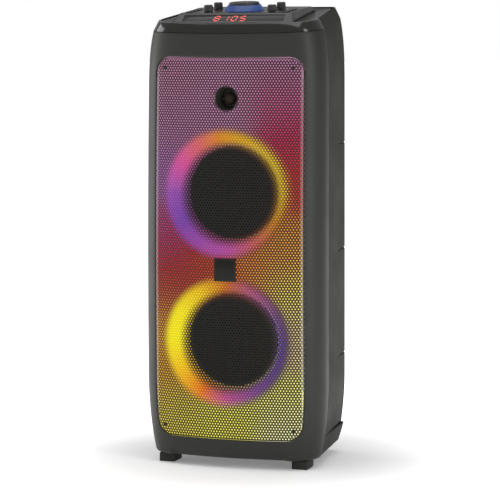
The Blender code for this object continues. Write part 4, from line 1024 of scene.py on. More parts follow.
def grille_half_width(level, shrink):
    """Half of the grille's width at a level: straight sides, with a circle's chord at each corner, times the
    squeeze of that level."""
    half, radius = GRILLE_HALF - shrink, GRILLE_CORNER - shrink
    from_end = np.minimum(level - GRILLE_BOTTOM - shrink, GRILLE_TOP - shrink - level)
    inside = np.clip(from_end, 0, radius)
    chord = half - radius + np.sqrt(np.maximum(0.0, radius**2 - (radius - inside) ** 2))
    return np.where(from_end < 0, -1.0, chord * squeeze(level))


def hole_cells(spacing, margin):
    """Whole-number places of the cells of a staggered pattern, in half spacings across and half cell corners up,
    kept where the cell's middle lies inside the grille's outline and clear of the tweeter's hole."""
    rise = spacing * math.sqrt(3) / 2
    rows = np.arange(int((GRILLE_TOP - GRILLE_BOTTOM) / rise) + 2)
    columns = np.arange(-int(GRILLE_HALF / spacing) - 2, int(GRILLE_HALF / spacing) + 3)
    row, column = np.meshgrid(rows, columns, indexing="ij")
    across, up = (2 * column + row % 2).ravel(), (3 * row).ravel()
    x, z = across * spacing / 2, GRILLE_BOTTOM + up * rise / 3
    keep = np.abs(x) < grille_half_width(z, margin)
    keep &= np.hypot(x, z - TWEETER_HEIGHT) > TWEETER_HOLE + 0.0004
    return across[keep], up[keep]


def pierced_mesh(name, across, up, spacing, hole, thickness):
    """A band of the pierced sheet. Each cell is a hexagon round a hole of twelve sides, in front and behind, and
    the sheet follows the front surface. Cells share their corners, and edges with one cell get a wall."""
    rise = spacing * math.sqrt(3) / 2
    corner_steps = np.array([(1, 1), (0, 2), (-1, 1), (-1, -1), (0, -2), (1, -1)])
    keys = np.stack([across, up], -1)[:, None, :] + corner_steps
    unique, index = np.unique(keys.reshape(-1, 2), axis=0, return_inverse=True)
    corner = index.reshape(-1, 6)
    corner_xz = np.stack([unique[:, 0] * spacing / 2, GRILLE_BOTTOM + unique[:, 1] * rise / 3], -1)
    angle = np.arange(12) * math.pi / 6
    ring = np.stack([np.cos(angle), np.sin(angle)], -1) * hole / 2
    middle = np.stack([across * spacing / 2, GRILLE_BOTTOM + up * rise / 3], -1)
    hole_xz = (middle[:, None, :] + ring).reshape(-1, 2)
    xz = np.concatenate([corner_xz, hole_xz])
    y = front_depth(xz[:, 0], xz[:, 1]) + GRILLE_RECESS
    front = np.stack([xz[:, 0], y, xz[:, 1]], -1)
    back = front + REARWARD * thickness
    points = np.concatenate([front, back])
    shift = len(front)
    rim = len(corner_xz) + np.arange(len(middle) * 12).reshape(-1, 12)
    k = np.arange(6)
    here, after = corner[:, k], corner[:, (k + 1) % 6]
    first, second, third = rim[:, (2 * k + 1) % 12], rim[:, (2 * k + 2) % 12], rim[:, (2 * k + 3) % 12]
    threes = np.concatenate([
        np.stack([here, after, second], -1), np.stack([here, second, first], -1),
        np.stack([after, third, second], -1)
    ]).reshape(-1, 3)
    m = np.arange(12)
    walls = np.stack([rim[:, m], rim[:, (m + 1) % 12], rim[:, (m + 1) % 12] + shift, rim[:, m] + shift], -1)
    edges = np.stack([here, after], -1).reshape(-1, 2)
    sorted_edges = np.sort(edges, axis=1)
    _, first_at, counts = np.unique(sorted_edges, axis=0, return_index=True, return_counts=True)
    open_edges = edges[first_at[counts == 1]]
    sides = np.stack([open_edges[:, 1], open_edges[:, 0], open_edges[:, 0] + shift, open_edges[:, 1] + shift], -1)
    faces = [threes, threes[:, ::-1] + shift, walls.reshape(-1, 4), sides]
    mesh = fill_mesh(name, points, faces)
    shape = bmesh.new()
    shape.from_mesh(mesh)
    bmesh.ops.recalc_face_normals(shape, faces=shape.faces)
    shape.to_mesh(mesh)
    shape.free()
    return mesh


def outline_points(shrink, steps=10):
    """The grille's outline, evenly stepped: four straight sides and four corner arcs, as true x and level."""
    half, radius = GRILLE_HALF - shrink, GRILLE_CORNER - shrink
    low, high = GRILLE_BOTTOM + shrink, GRILLE_TOP - shrink
    turn = np.linspace(0, math.pi / 2, steps + 1)
    x, z = [], []
    sides = ((1, 1, 0), (-1, 1, 1), (-1, -1, 2), (1, -1, 3))
    for across, up, quarter in sides:
        centre_x = across * (half - radius)
        centre_z = high - radius if up > 0 else low + radius
        angle = turn + quarter * math.pi / 2
        x.append(centre_x + radius * np.cos(angle))
        z.append(centre_z + radius * np.sin(angle))
        count, to_x, to_z = ((60, -centre_x, centre_z) if quarter % 2 == 0 else
                             (120, centre_x, low + radius if up > 0 else high - radius))
        run = np.linspace(0, 1, count + 1)[1:-1]
        x.append(x[-1][-1] + (to_x - centre_x) * run)
        z.append(z[-1][-1] + (to_z - centre_z) * run)
    x, z = np.concatenate(x), np.concatenate(z)
    return x * squeeze(z), z


def bead_mesh(name, x, z, radius, setback):
    """A round bead that lies along a closed line on the front surface: a circle of eight points carried along."""
    y = front_depth(x, z) + setback
    line = np.stack([x, y, z], -1)
    along = np.roll(line, -1, axis=0) - np.roll(line, 1, axis=0)
    along /= np.linalg.norm(along, axis=1)[:, None]
    outward = np.cross(along, REARWARD)
    outward /= np.linalg.norm(outward, axis=1)[:, None]
    second = np.cross(along, outward)
    angle = np.arange(8) * math.pi / 4
    ring = np.cos(angle)[None, :, None] * outward[:, None] + np.sin(angle)[None, :, None] * second[:, None]
    points = line[:, None] + radius * ring
    mesh = fill_mesh(name, points, [grid_faces(len(line), 8, True, True)])
    tidy_mesh(mesh)
    return mesh


# ---------------------------------------------------------------- small shapes


def seven_segments(figure):
    """Which of the seven bars light for a figure, in the order top, upper right, lower right, bottom, lower left,
    upper left, middle."""
    lit = {"0": "111111 ", "1": " 11    ", "2": "11 11 1", "3": "1111  1", "4": " 11  11", "5": "1 11 11",
           "6": "1 11111", "7": "111    ", "8": "1111111", "9": "1111 11"}
    return [mark == "1" for mark in lit[figure]]


def bar_mesh(start, end, width, thickness, slant):
    """A flat bar with pointed ends: six corners, leaned by a share of their height."""
    start, end = np.array(start, float), np.array(end, float)
    along = (end - start) / np.linalg.norm(end - start)
    side = np.array([-along[1], along[0]]) * width / 2
    tip = along * width / 2
    corners = [start, start + tip + side, end - tip + side, end, end - tip - side, start + tip - side]
    flat = np.array(corners)
    flat[:, 0] += flat[:, 1] * slant
    low = np.column_stack([flat, np.zeros(6)])
    points = np.concatenate([low, low + [0, 0, thickness]])
    sides = np.array([(i, (i + 1) % 6, (i + 1) % 6 + 6, i + 6) for i in range(6)])
    ends = np.array([np.arange(6), np.arange(6) + 6])
    mesh = fill_mesh("Bar", points, [sides, ends])
    tidy_mesh(mesh)
    return mesh


def figure_bars(figure, x, height, width, bar, thickness, slant):
    """The lit bars of one figure."""
    top, low, gap = height / 2, -height / 2, bar * 0.35
    left, right = -width / 2, width / 2
    places = [((left + gap, top), (right - gap, top)), ((right, top - gap), (right, gap)),
              ((right, -gap), (right, low + gap)), ((left + gap, low), (right - gap, low)),
              ((left, -gap), (left, low + gap)), ((left, top - gap), (left, gap)),
              ((left + gap, 0), (right - gap, 0))]
    bars = []
    for lit, (start, end) in zip(seven_segments(figure), places):
        if lit:
            shifted = [(a + x, b) for a, b in (start, end)]
            bars.append(bar_mesh(*shifted, bar, thickness, slant))
    return bars


def flat_outline_mesh(outline, thickness):
    """A flat closed outline given a thickness."""
    outline = np.asarray(outline, float)
    count = len(outline)
    low = np.column_stack([outline, np.zeros(count)])
    points = np.concatenate([low, low + [0, 0, thickness]])
    i = np.arange(count)
    sides = np.stack([i, (i + 1) % count, (i + 1) % count + count, i + count], -1)
    mesh = fill_mesh("Outline", points, [sides, np.array([i, i + count])])
    tidy_mesh(mesh)
    return mesh


def arc_outline(radius, width, start, end, steps=20):
    """A flat curved strip: an outer arc and an inner arc back."""
    angle = np.radians(np.linspace(start, end, steps))
    circle = np.stack([np.cos(angle), np.sin(angle)], -1)
    return np.concatenate([circle * (radius + width / 2), circle[::-1] * (radius - width / 2)])


def key_icon(number):
    """A generic picture for each key, as flat outlines in a unit square: triangle, two bars, plus, minus, circle,
    double triangle, square and arc."""
    triangle = [(-0.35, -0.45), (0.45, 0), (-0.35, 0.45)]
    bar = [(-0.14, -0.45), (0.1, -0.45), (0.1, 0.45), (-0.14, 0.45)]
    minus = [(-0.45, -0.11), (0.45, -0.11), (0.45, 0.11), (-0.45, 0.11)]
    plus = [(-0.45, -0.11), (-0.11, -0.11), (-0.11, -0.45), (0.11, -0.45), (0.11, -0.11), (0.45, -0.11),
            (0.45, 0.11), (0.11, 0.11), (0.11, 0.45), (-0.11, 0.45), (-0.11, 0.11), (-0.45, 0.11)]
    square = [(-0.35, -0.35), (0.35, -0.35), (0.35, 0.35), (-0.35, 0.35)]
    halves = [[(x * 0.5 - 0.22, y * 0.8) for x, y in triangle], [(x * 0.5 + 0.26, y * 0.8) for x, y in triangle]]
    icons = {
        1: [triangle], 2: [[(x - 0.2, y) for x, y in bar], [(x + 0.24, y) for x, y in bar]], 3: [plus], 4: [minus],
        5: [arc_outline(0.34, 0.14, 0, 350)], 6: halves, 7: [square], 8: [arc_outline(0.34, 0.14, -50, 230)],
    }
    return icons[number]


def cross_screw_mesh(name, place, direction, radius, height):
    """A domed screw head with a cross cut into it. The local height runs out of the surface."""
    profile = [(0, -0.0004), (radius, -0.0004), (radius, height * 0.45), (radius * 0.8, height * 0.85),
               (radius * 0.4, height), (0, height)]
    points = turned_points(profile, 24)
    head = fill_mesh(name, points, [grid_faces(len(profile), 24, wrap_columns=True)])
    tidy_mesh(head)
    obj = bpy.data.objects.new(name, head)
    bpy.context.scene.collection.objects.link(obj)
    arm, wide = radius * 0.62, radius * 0.15
    for size in ((arm, wide), (wide, arm)):
        cut(obj, block_mesh("Slot", (-size[0], -size[1], height * 0.3), (size[0], size[1], height * 2)))
    mesh = obj.data
    bpy.data.objects.remove(obj)
    first, second, third = frame_at(direction)
    turn = Matrix([[*row] for row in np.stack([first, second, third]).T]).to_4x4()
    return move_mesh(mesh, Matrix.Translation(Vector(place)) @ turn)


def surface_normal(x, level):
    """The outward direction of the front surface, from the slope of its depth across."""
    step = 0.001
    slope = (front_depth(x + step, level) - front_depth(x - step, level)) / (2 * step)
    normal = np.array([float(slope), -1.0, 0.0])
    return normal / np.linalg.norm(normal)


def carried_over(nodes, material):
    """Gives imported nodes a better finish."""
    for name in nodes:
        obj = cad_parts[name]
        for slot in obj.material_slots:
            slot.material = material


# ---------------------------------------------------------------- settings and operators


WORLD_LIGHT = 0.36
# The floor glows at FLOOR_GLOW near the speaker, rising to FAR_GLOW over the fade's distances: a painted darker pool
# round the speaker, where its shadow falls.
FLOOR_GLOW = 0.2
FAR_GLOW = 1.0
SHADE_POOL_FADE = (0.2, 0.62)
# The floor glows less behind the speaker on its right, so that its side reflects less
FLAG_RIGHT = (1.0, 3.0)
FLAG_BACK = (-0.5, 1.5)
FLAG_SHADE = 0.9
# Name, place, point aimed at, width and height, power
SOFT_LIGHTS = (
    ("Overhead", (0.0, -0.4, 2.6), (0.0, 0.0, 0.4), (2.6, 2.6), 34.0),
    ("Right strip", (2.2, -1.25, 0.9), (0.1, 0.0, 0.45), (0.6, 2.0), 17.0),
    ("Left strip", (-2.3, -0.05, 0.8), (-0.1, 0.0, 0.45), (1.3, 2.0), 20.0),
    ("Right softbox", (1.99, -1.15, 2.05), (0.13, -0.1, 0.83), (0.55, 0.45), 2.6),
)
FLOOR_LEVEL = -0.0002
FLOOR_RADII = (0, 0.4, 1.2, 3.0, 8.0, 25.0, 80.0)
LENS, SENSOR, SHIFT = 160.3, 36.0, -0.42
CAMERA_TURN, CAMERA_HEIGHT = 18.5, 0.803
CAMERA_DISTANCE, CAMERA_SIDEWAYS = 4.284, 0.0052
# How far the badge's face stays behind the front of its packed box, under its border
BADGE_SETBACK = 0.0003


class SpeakerSettings(bpy.types.PropertyGroup):
    """Sizes and colours that a user would change."""

    hole_diameter: FloatProperty(
        name="Hole diameter", description="Diameter of the grille's holes", default=0.0029, unit="LENGTH")
    hole_spacing: FloatProperty(
        name="Hole spacing", description="Distance between holes in a row", default=0.0055, unit="LENGTH")
    sheet_thickness: FloatProperty(
        name="Sheet thickness", description="Thickness of the grille's steel", default=0.0012, unit="LENGTH")
    shell_colour: FloatVectorProperty(
        name="Shell colour", description="Colour of the moulded shells", default=tone(35, 35, 32), subtype="COLOR")
    gloss_colour: FloatVectorProperty(
        name="Gloss colour", description="Colour of the band and the deck", default=tone(21, 21, 19),
        subtype="COLOR")
    knob_glow: FloatVectorProperty(
        name="Knob glow", description="Colour of the ring round the main knob", default=tone(52, 96, 190),
        subtype="COLOR")
    figure_glow: FloatVectorProperty(
        name="Figure glow", description="Colour of the display's figures", default=tone(214, 70, 62),
        subtype="COLOR")
    panel_light: FloatProperty(
        name="Panel light", description="Strength of the light behind the grille", default=1.2, min=0.0)
    ring_light: FloatProperty(
        name="Ring light", description="Strength of the rings round the woofers", default=1.25, min=0.0)
    sheet_glow: FloatProperty(
        name="Sheet glow", description="Strength of the light the grille takes up", default=0.95, min=0.0)
    figures: IntProperty(name="Figures", description="Number on the display", default=8105, min=0, max=9999)


class PieceOperator:
    """What all the operators share."""

    bl_options = {"REGISTER", "UNDO"}

    def execute(self, context):
        """Makes the pieces; an error in it stops the script."""
        self.make(context.scene.speaker)
        return {"FINISHED"}


class SPEAKER_OT_studio(PieceOperator, bpy.types.Operator):
    """Makes the floor, the soft lights and the camera"""

    bl_idname = "speaker.studio"
    bl_label = "Studio"

    def make(self, settings):
        scene = bpy.context.scene
        scene.view_settings.view_transform = "Standard"
        world = bpy.data.worlds.new("Pale studio")
        scene.world = world
        world.use_nodes = True
        tree = world.node_tree
        sky = tree.nodes["Background"]
        sky.inputs["Color"].default_value = (1.0, 1.0, 1.0, 1.0)
        seen = add_node(tree, "ShaderNodeLightPath").outputs["Is Camera Ray"]
        strength = number(tree, "MULTIPLY_ADD", seen, 1.0 - WORLD_LIGHT, WORLD_LIGHT)
        tree.links.new(strength, sky.inputs["Strength"])

        angle = np.linspace(0, 2 * math.pi, 96, endpoint=False)
        radius = np.array(FLOOR_RADII)[:, None]
        points = np.stack(np.broadcast_arrays(radius * np.cos(angle), radius * np.sin(angle), FLOOR_LEVEL), -1)
        mesh = fill_mesh("Floor", points, [grid_faces(*points.shape[:2], wrap_columns=True)])
        tidy_mesh(mesh, outwards=False)
        material, nodes, shader = new_finish("Pale floor")
        fine = noise(nodes, 40.0, 2.0)
        pale = mixed(nodes, fine, (0.86, 0.86, 0.86, 1), (0.9, 0.9, 0.9, 1))
        nodes.links.new(pale, shader.inputs["Base Color"])
        shader.inputs["Roughness"].default_value = 0.8
        shader.inputs["Specular IOR Level"].default_value = 0.1
        shader.inputs["Emission Color"].default_value = (1, 1, 1, 1)
        away = add_node(nodes, "ShaderNodeVectorMath", {0: place_of(nodes)}, operation="LENGTH").outputs["Value"]
        # Weaker glow near the speaker: painted shade round it.
        far = smooth_step(nodes, away, *SHADE_POOL_FADE)
        sides = add_node(nodes, "ShaderNodeSeparateXYZ", {0: place_of(nodes)}).outputs
        right = smooth_step(nodes, sides[0], *FLAG_RIGHT)
        flag = number(nodes, "MULTIPLY", right, smooth_step(nodes, sides[1], *FLAG_BACK))
        far = number(nodes, "MULTIPLY", far, number(nodes, "MULTIPLY_ADD", flag, -FLAG_SHADE, 1.0))
        glow = number(nodes, "MULTIPLY_ADD", far, FAR_GLOW - FLOOR_GLOW, FLOOR_GLOW)
        nodes.links.new(glow, shader.inputs["Emission Strength"])
        floor = bpy.data.objects.new("Floor", mesh)
        mesh.materials.append(material)
        scene.collection.objects.link(floor)

        for name, place, target, size, power in SOFT_LIGHTS:
            lamp = bpy.data.lights.new(name, "AREA")
            lamp.shape = "RECTANGLE"
            lamp.size, lamp.size_y = size
            lamp.energy = power
            obj = bpy.data.objects.new(name, lamp)
            obj.location = place
            obj.rotation_euler = (Vector(target) - Vector(place)).to_track_quat("-Z", "Y").to_euler()
            scene.collection.objects.link(obj)

        camera = bpy.data.cameras.new("Camera")
        camera.lens, camera.sensor_width, camera.shift_y = LENS, SENSOR, SHIFT
        obj = bpy.data.objects.new("Camera", camera)
        turn = math.radians(CAMERA_TURN)
        obj.location = (CAMERA_DISTANCE * math.sin(turn) + CAMERA_SIDEWAYS * math.cos(turn),
                        CAMERA_SIDEWAYS * math.sin(turn) - CAMERA_DISTANCE * math.cos(turn), CAMERA_HEIGHT)
        obj.rotation_euler = (math.pi / 2, 0.0, turn)
        scene.collection.objects.link(obj)
        scene.camera = obj


class SPEAKER_OT_shells(PieceOperator, bpy.types.Operator):
    """Makes the front shell, the rear shell and the base"""

    bl_idname = "speaker.shells"
    bl_label = "Shells"

    def make(self, settings):
        plastic = black_plastic()
        front = make_piece("front_shell", front_shell_mesh(), plastic, "cabinet", ["front_bezel"],
                           24)
        thicken(front, SHELL_WALL)
        rear = make_piece("rear_shell", rear_shell_mesh(), rear_plastic(), "cabinet", ["rear_cabinet"],
                          22)
        thicken(rear, SHELL_WALL)
        settle(rear)
        low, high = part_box("rear_plate")
        edge = 0.008
        cut(rear, block_mesh("Opening", (low.x + edge, BACK_Y - 0.03, low.z + edge),
                             (high.x - edge, BACK_Y + 0.03, high.z - edge), 0.003))
        port_low, port_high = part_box("port_tube")
        centre = (port_low + port_high) / 2
        bore = (port_high.x - port_low.x) / 2 + GAP
        drill = turned_mesh("Opening", [(0, -0.03), (bore, -0.03), (bore, 0.03), (0, 0.03)],
                            (centre.x, BACK_Y, centre.z), REARWARD, 96)
        cut(rear, drill)
        base = make_piece("base_shell", base_shell_mesh(), rear_plastic(), "cabinet", ["base_tray"],
                          22)
        thicken(base, SHELL_WALL)


class SPEAKER_OT_top(PieceOperator, bpy.types.Operator):
    """Makes the polished band and the sloping deck"""

    bl_idname = "speaker.top"
    bl_label = "Band and deck"

    def make(self, settings):
        make_piece("top_band", top_band_mesh(), gloss_plastic(), "cabinet", ["top_trim"], 30)
        deck = make_piece("deck", deck_mesh(), satin_plastic(), "cabinet", ["top_panel"], 30)
        mouth = 0.014
        profile = console_profile()
        front_y, end_y = profile[0][0] + mouth, profile[2][0] - mouth
        half = CONSOLE_REAR_HALF - mouth
        cut(deck, block_mesh("Opening", (-half, front_y, LIP_HEIGHT - 0.03), (half, end_y, LIP_HEIGHT + 0.06)))


class SPEAKER_OT_console(PieceOperator, bpy.types.Operator):
    """Makes the console with its dial marks"""

    bl_idname = "speaker.console"
    bl_label = "Console"

    def make(self, settings):
        console = make_piece("console", console_mesh("console"), satin_plastic(), "cabinet", ["control_console"],
                             25)
        round_edges(console, 0.0012, 3, 12)
        settle(console)
        cut(console, console_mesh("Hollow", 0.003))
        shaft = 0.0036
        knobs = [(x, y) for x in (-SMALL_KNOB_X, SMALL_KNOB_X) for y in SMALL_KNOB_ROWS] + [(0.0, MAIN_KNOB_Y)]
        for x, y in knobs:
            profile = [(0, -0.01), (shaft, -0.01), (shaft, 0.01), (0, 0.01)]
            cut(console, turned_mesh("Bore", profile, on_console(x, y), CONSOLE_UP, 32))
        clear = 0.0005
        half = (BUTTON_WIDTH / 2 + clear, BUTTON_LENGTH / 2 + clear)
        for x in (-BUTTON_X, BUTTON_X):
            for y in BUTTON_ROWS:
                hole = block_mesh("Key hole", (-half[0], -half[1], -0.01), (half[0], half[1], 0.01), 0.0016, 3)
                cut(console, move_mesh(hole, console_matrix(x, y)))
        reach = DISPLAY_DEPTH / 2 + clear
        pocket = block_mesh("Pocket", (-DISPLAY_HALF - clear, -reach, -0.0015),
                            (DISPLAY_HALF + clear, reach, 0.004))
        cut(console, move_mesh(pocket, display_matrix()))
        for polygon in console.data.polygons:
            polygon.use_smooth = True
        console.data.set_sharp_from_angle(angle=math.radians(25))

        marks = []
        for x in (-SMALL_KNOB_X, SMALL_KNOB_X):
            for y in SMALL_KNOB_ROWS:
                for turn in range(-150, 151, 30):
                    length = 0.0032 if turn % 150 == 0 else 0.0022
                    tick = block_mesh("Tick", (-0.00035, 0.0112, -0.0003), (0.00035, 0.0112 + length, 0.00012))
                    move_mesh(tick, Matrix.Rotation(math.radians(-turn), 4, "Z"))
                    marks.append(move_mesh(tick, console_matrix(x, y)))
        for turn in range(-150, 151, 20):
            tick = block_mesh("Tick", (-0.0004, 0.0412, -0.0003), (0.0004, 0.0438, 0.00012))
            move_mesh(tick, Matrix.Rotation(math.radians(-turn), 4, "Z"))
            marks.append(move_mesh(tick, console_matrix(0.0, MAIN_KNOB_Y)))
        white = white_print()
        make_piece("dial_marks", joined("dial_marks", marks), white, "cabinet")


class SPEAKER_OT_display(PieceOperator, bpy.types.Operator):
    """Makes the display's window and its lit figures"""

    bl_idname = "speaker.display"
    bl_label = "Display"

    def make(self, settings):
        smoked = plain_finish("Smoked acrylic", tone(24, 24, 24), 0.12, grain=120.0, relief=0.01, vary=0.1,
                              specular=0.25)
        window = block_mesh("display_glass", (-DISPLAY_HALF, -DISPLAY_DEPTH / 2, -0.0012),
                            (DISPLAY_HALF, DISPLAY_DEPTH / 2, 0.0), 0.0004)
        make_piece("display_glass", move_mesh(window, display_matrix()), smoked, "cabinet", ["display_window"])
        bars = []
        for i, figure in enumerate(f"{settings.figures:04d}"):
            bars += figure_bars(figure, (i - 1.5) * 0.0172, 0.0136, 0.0098, 0.0022, 0.0003, 0.18)
        figures = joined("display_figures", bars)
        shift = Matrix.Translation(Vector((-0.0065, -0.0018, -0.0002)))
        lit = glow_finish("Red figures", tuple(settings.figure_glow), 0.75)
        make_piece("display_figures", move_mesh(figures, display_matrix() @ shift), lit, "cabinet")


class SPEAKER_OT_knobs(PieceOperator, bpy.types.Operator):
    """Makes the main knob, its lit ring and the four small knobs"""

    bl_idname = "speaker.knobs"
    bl_label = "Knobs"

    def make(self, settings):
        place = on_console(0.0, MAIN_KNOB_Y)
        top = 0.016
        skirt = [(0, -0.007), (0.003, -0.007), (0.003, 0.0008), (0.0265, 0.0008), (0.0272, 0.0069),
                 (0.0290, 0.0120)]
        crown = [(0.0290, top - 0.0014), (0.0284, top - 0.0004), (0.0272, top), (0.0258, top - 0.0003),
                 (0.0250, top - 0.0012), (0.012, top - 0.0015), (0, top - 0.0015)]
        profile = skirt + crown
        ribbed = [0] * len(skirt[:-1]) + [1, 1] + [0] * (len(crown) - 1)
        knob = turned_mesh("main_knob_cap", profile, place, CONSOLE_UP, 288, ribs=72, rib_depth=0.0005,
                           ribbed=ribbed)
        make_piece("main_knob_cap", knob, knob_plastic(), "main_knob_body", ["main_knob"], 40)
        groove = turned_mesh("knob_inlay", [(0.0208, top - 0.0016), (0.0222, top - 0.0016), (0.0222, top - 0.0011),
                                            (0.0208, top - 0.0011)], place, CONSOLE_UP, 96, loop=True)
        make_piece("knob_inlay", groove, zinc_steel(), "main_knob_body")
        dot = turned_mesh("knob_dot", [(0, top - 0.0017), (0.0014, top - 0.0017), (0.0014, top - 0.0010),
                                       (0, top - 0.0009)], place + CONSOLE_BACK * 0.0165, CONSOLE_UP, 24)
        white = white_print()
        make_piece("knob_dot", dot, white, "main_knob_body")

        blue = glow_finish("Blue ring light", tuple(settings.knob_glow), 0.32, tone(34, 44, 70))
        ring = rounded_line([(0.0390, GAP), (0.0312, 0.0115), (0.0298, 0.0115), (0.0290, GAP)], 0.0006, 3, True)
        mesh = turned_mesh("knob_glow_ring", ring, place, CONSOLE_UP, 128, loop=True)
        make_piece("knob_glow_ring", mesh, blue, "cabinet", ["knob_light_ring"])

        small = [(0, -0.007), (0.003, -0.007), (0.003, 0.0008), (0.0088, 0.0008), (0.0090, 0.0014),
                 (0.0088, 0.0030),
                 (0.0084, 0.0112), (0.0080, 0.0122), (0.0070, 0.0130), (0.0060, 0.0128), (0, 0.0128)]
        ribs = [0] * 5 + [1, 1] + [0] * 4
        for side, x in (("left", -SMALL_KNOB_X), ("right", SMALL_KNOB_X)):
            for row, y in zip(("front", "rear"), SMALL_KNOB_ROWS):
                node = f"small_knob_{side}_{row}"
                mesh = turned_mesh(node + "_cap", small, on_console(x, y), CONSOLE_UP, 144, ribs=24,
                                   rib_depth=0.0006, ribbed=ribs)
                make_piece(node + "_cap", mesh, knob_plastic(), node + "_body", [node], 40)
                line = block_mesh("Line", (-0.0004, 0.0022, 0.0122), (0.0004, 0.0066, 0.0130), 0.0002)
                make_piece(node + "_line", move_mesh(line, console_matrix(x, y)), white, node + "_body")


class SPEAKER_OT_keys(PieceOperator, bpy.types.Operator):
    """Makes the eight keys with their generic pictures"""

    bl_idname = "speaker.keys"
    bl_label = "Keys"

    def make(self, settings):
        white = white_print()
        places = [(x, y) for x in (-BUTTON_X, BUTTON_X) for y in BUTTON_ROWS]
        for number_of, (x, y) in enumerate(places, 1):
            node = f"button_{number_of}"
            key = block_mesh(node + "_cap", (-BUTTON_WIDTH / 2, -BUTTON_LENGTH / 2, BUTTON_PROUD - BUTTON_HEIGHT),
                             (BUTTON_WIDTH / 2, BUTTON_LENGTH / 2, BUTTON_PROUD), 0.0011, 4)
            make_piece(node + "_cap", move_mesh(key, console_matrix(x, y)), rubber(), node + "_body",
                       [node])
            size = 0.0042
            shapes = [flat_outline_mesh(np.array(outline) * size, 0.0003) for outline in key_icon(number_of)]
            icon = joined(node + "_icon", shapes)
            move_mesh(icon, console_matrix(x, y, BUTTON_PROUD - 0.0002))
            make_piece(node + "_icon", icon, white, node + "_body")


class SPEAKER_OT_grille(PieceOperator, bpy.types.Operator):
    """Makes the pierced grille, its rim, the tweeter's surround and the four screws"""

    bl_idname = "speaker.grille"
    bl_label = "Grille"

    def make(self, settings):
        steel = grille_finish(settings.sheet_glow, settings.sheet_glow * 1.15)
        across, up = hole_cells(settings.hole_spacing, 0.0022)
        levels = np.quantile(up, [0, 0.25, 0.5, 0.75, 1])
        levels[-1] += 1
        for i in range(4):
            band = (up >= levels[i]) & (up < levels[i + 1])
            name = f"grille_sheet_{i + 1}"
            mesh = pierced_mesh(name, across[band], up[band], settings.hole_spacing, settings.hole_diameter,
                                settings.sheet_thickness)
            nodes = ["grille"] if i == 0 else []
            make_piece(name, mesh, steel, "cabinet", nodes, 35)
        x, z = outline_points(GRILLE_CLEARANCE + 0.0011)
        rim = bead_mesh("grille_rim", x, z, 0.0011, GRILLE_RECESS + 0.0008)
        make_piece("grille_rim", rim, dark_steel(), "cabinet")
        angle = np.linspace(0, 2 * math.pi, 96, endpoint=False)
        radius = TWEETER_HOLE + 0.0012
        ring_x, ring_z = radius * np.cos(angle), TWEETER_HEIGHT + radius * np.sin(angle)
        ring = bead_mesh("tweeter_bead", ring_x, ring_z, 0.0009, GRILLE_RECESS + 0.0007)
        make_piece("tweeter_bead", ring, dark_steel(), "cabinet")
        for end, far in (("bottom", GRILLE_BOTTOM + 0.02), ("top", GRILLE_TOP - 0.02)):
            for side, x in (("left", -GRILLE_HALF + 0.02), ("right", GRILLE_HALF - 0.02)):
                node = f"grille_screw_{end}_{side}"
                normal = surface_normal(x, far)
                place = np.array([x, float(front_depth(x, far)) + GRILLE_RECESS, far]) + normal * 0.0002
                mesh = cross_screw_mesh(node + "_head", place, normal, 0.0036, 0.0016)
                make_piece(node + "_head", mesh, dark_steel(), "cabinet", [node], 30)


class SPEAKER_OT_badge(PieceOperator, bpy.types.Operator):
    """Makes the blank badge"""

    bl_idname = "speaker.badge"
    bl_label = "Badge"

    def make(self, settings):
        low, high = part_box("badge")
        low.y += BADGE_SETBACK
        mesh = block_mesh("badge_plate", low, high, 0.0011, 3)
        gloss = plain_finish("Badge black", tone(24, 24, 22), 0.3, grain=300.0, relief=0.02, vary=0.15,
                             specular=0.15)
        make_piece("badge_plate", mesh, gloss, "cabinet", ["badge"])
        margin, depth = 0.0022, 0.0005
        frame_line = rounded_line([(low.x + margin, low.z + margin), (high.x - margin, low.z + margin),
                                   (high.x - margin, high.z - margin), (low.x + margin, high.z - margin)],
                                  0.002, 5, True)
        line = np.column_stack([frame_line[:, 0], np.full(len(frame_line), low.y), frame_line[:, 1]])
        middle = line.mean(0)
        rows = []
        for share, rise in ((1.0, -depth / 4), (1.0, depth), (0.965, depth), (0.965, -depth / 4)):
            ring = middle + (line - middle) * share
            ring[:, 1] += rise - depth / 4
            rows.append(ring)
        border = fill_mesh("badge_border", np.array(rows), [grid_faces(4, len(line), True, True)])
        tidy_mesh(border)
        make_piece("badge_border", border, dark_steel(), "cabinet")


class SPEAKER_OT_lights(PieceOperator, bpy.types.Operator):
    """Gives the lit panel and the two rings their colours"""

    bl_idname = "speaker.lights"
    bl_label = "Lights"

    def make(self, settings):
        carried_over(["light_panel"], light_finish("Lit panel", settings.panel_light))
        carried_over(["led_ring_lower", "led_ring_upper"], light_finish("Lit rings", settings.ring_light))
        board = plain_finish("Green circuit board", tone(24, 74, 44), 0.42, grain=220.0, relief=0.3, vary=0.35)
        carried_over(["led_board_lower", "led_board_upper"], board)


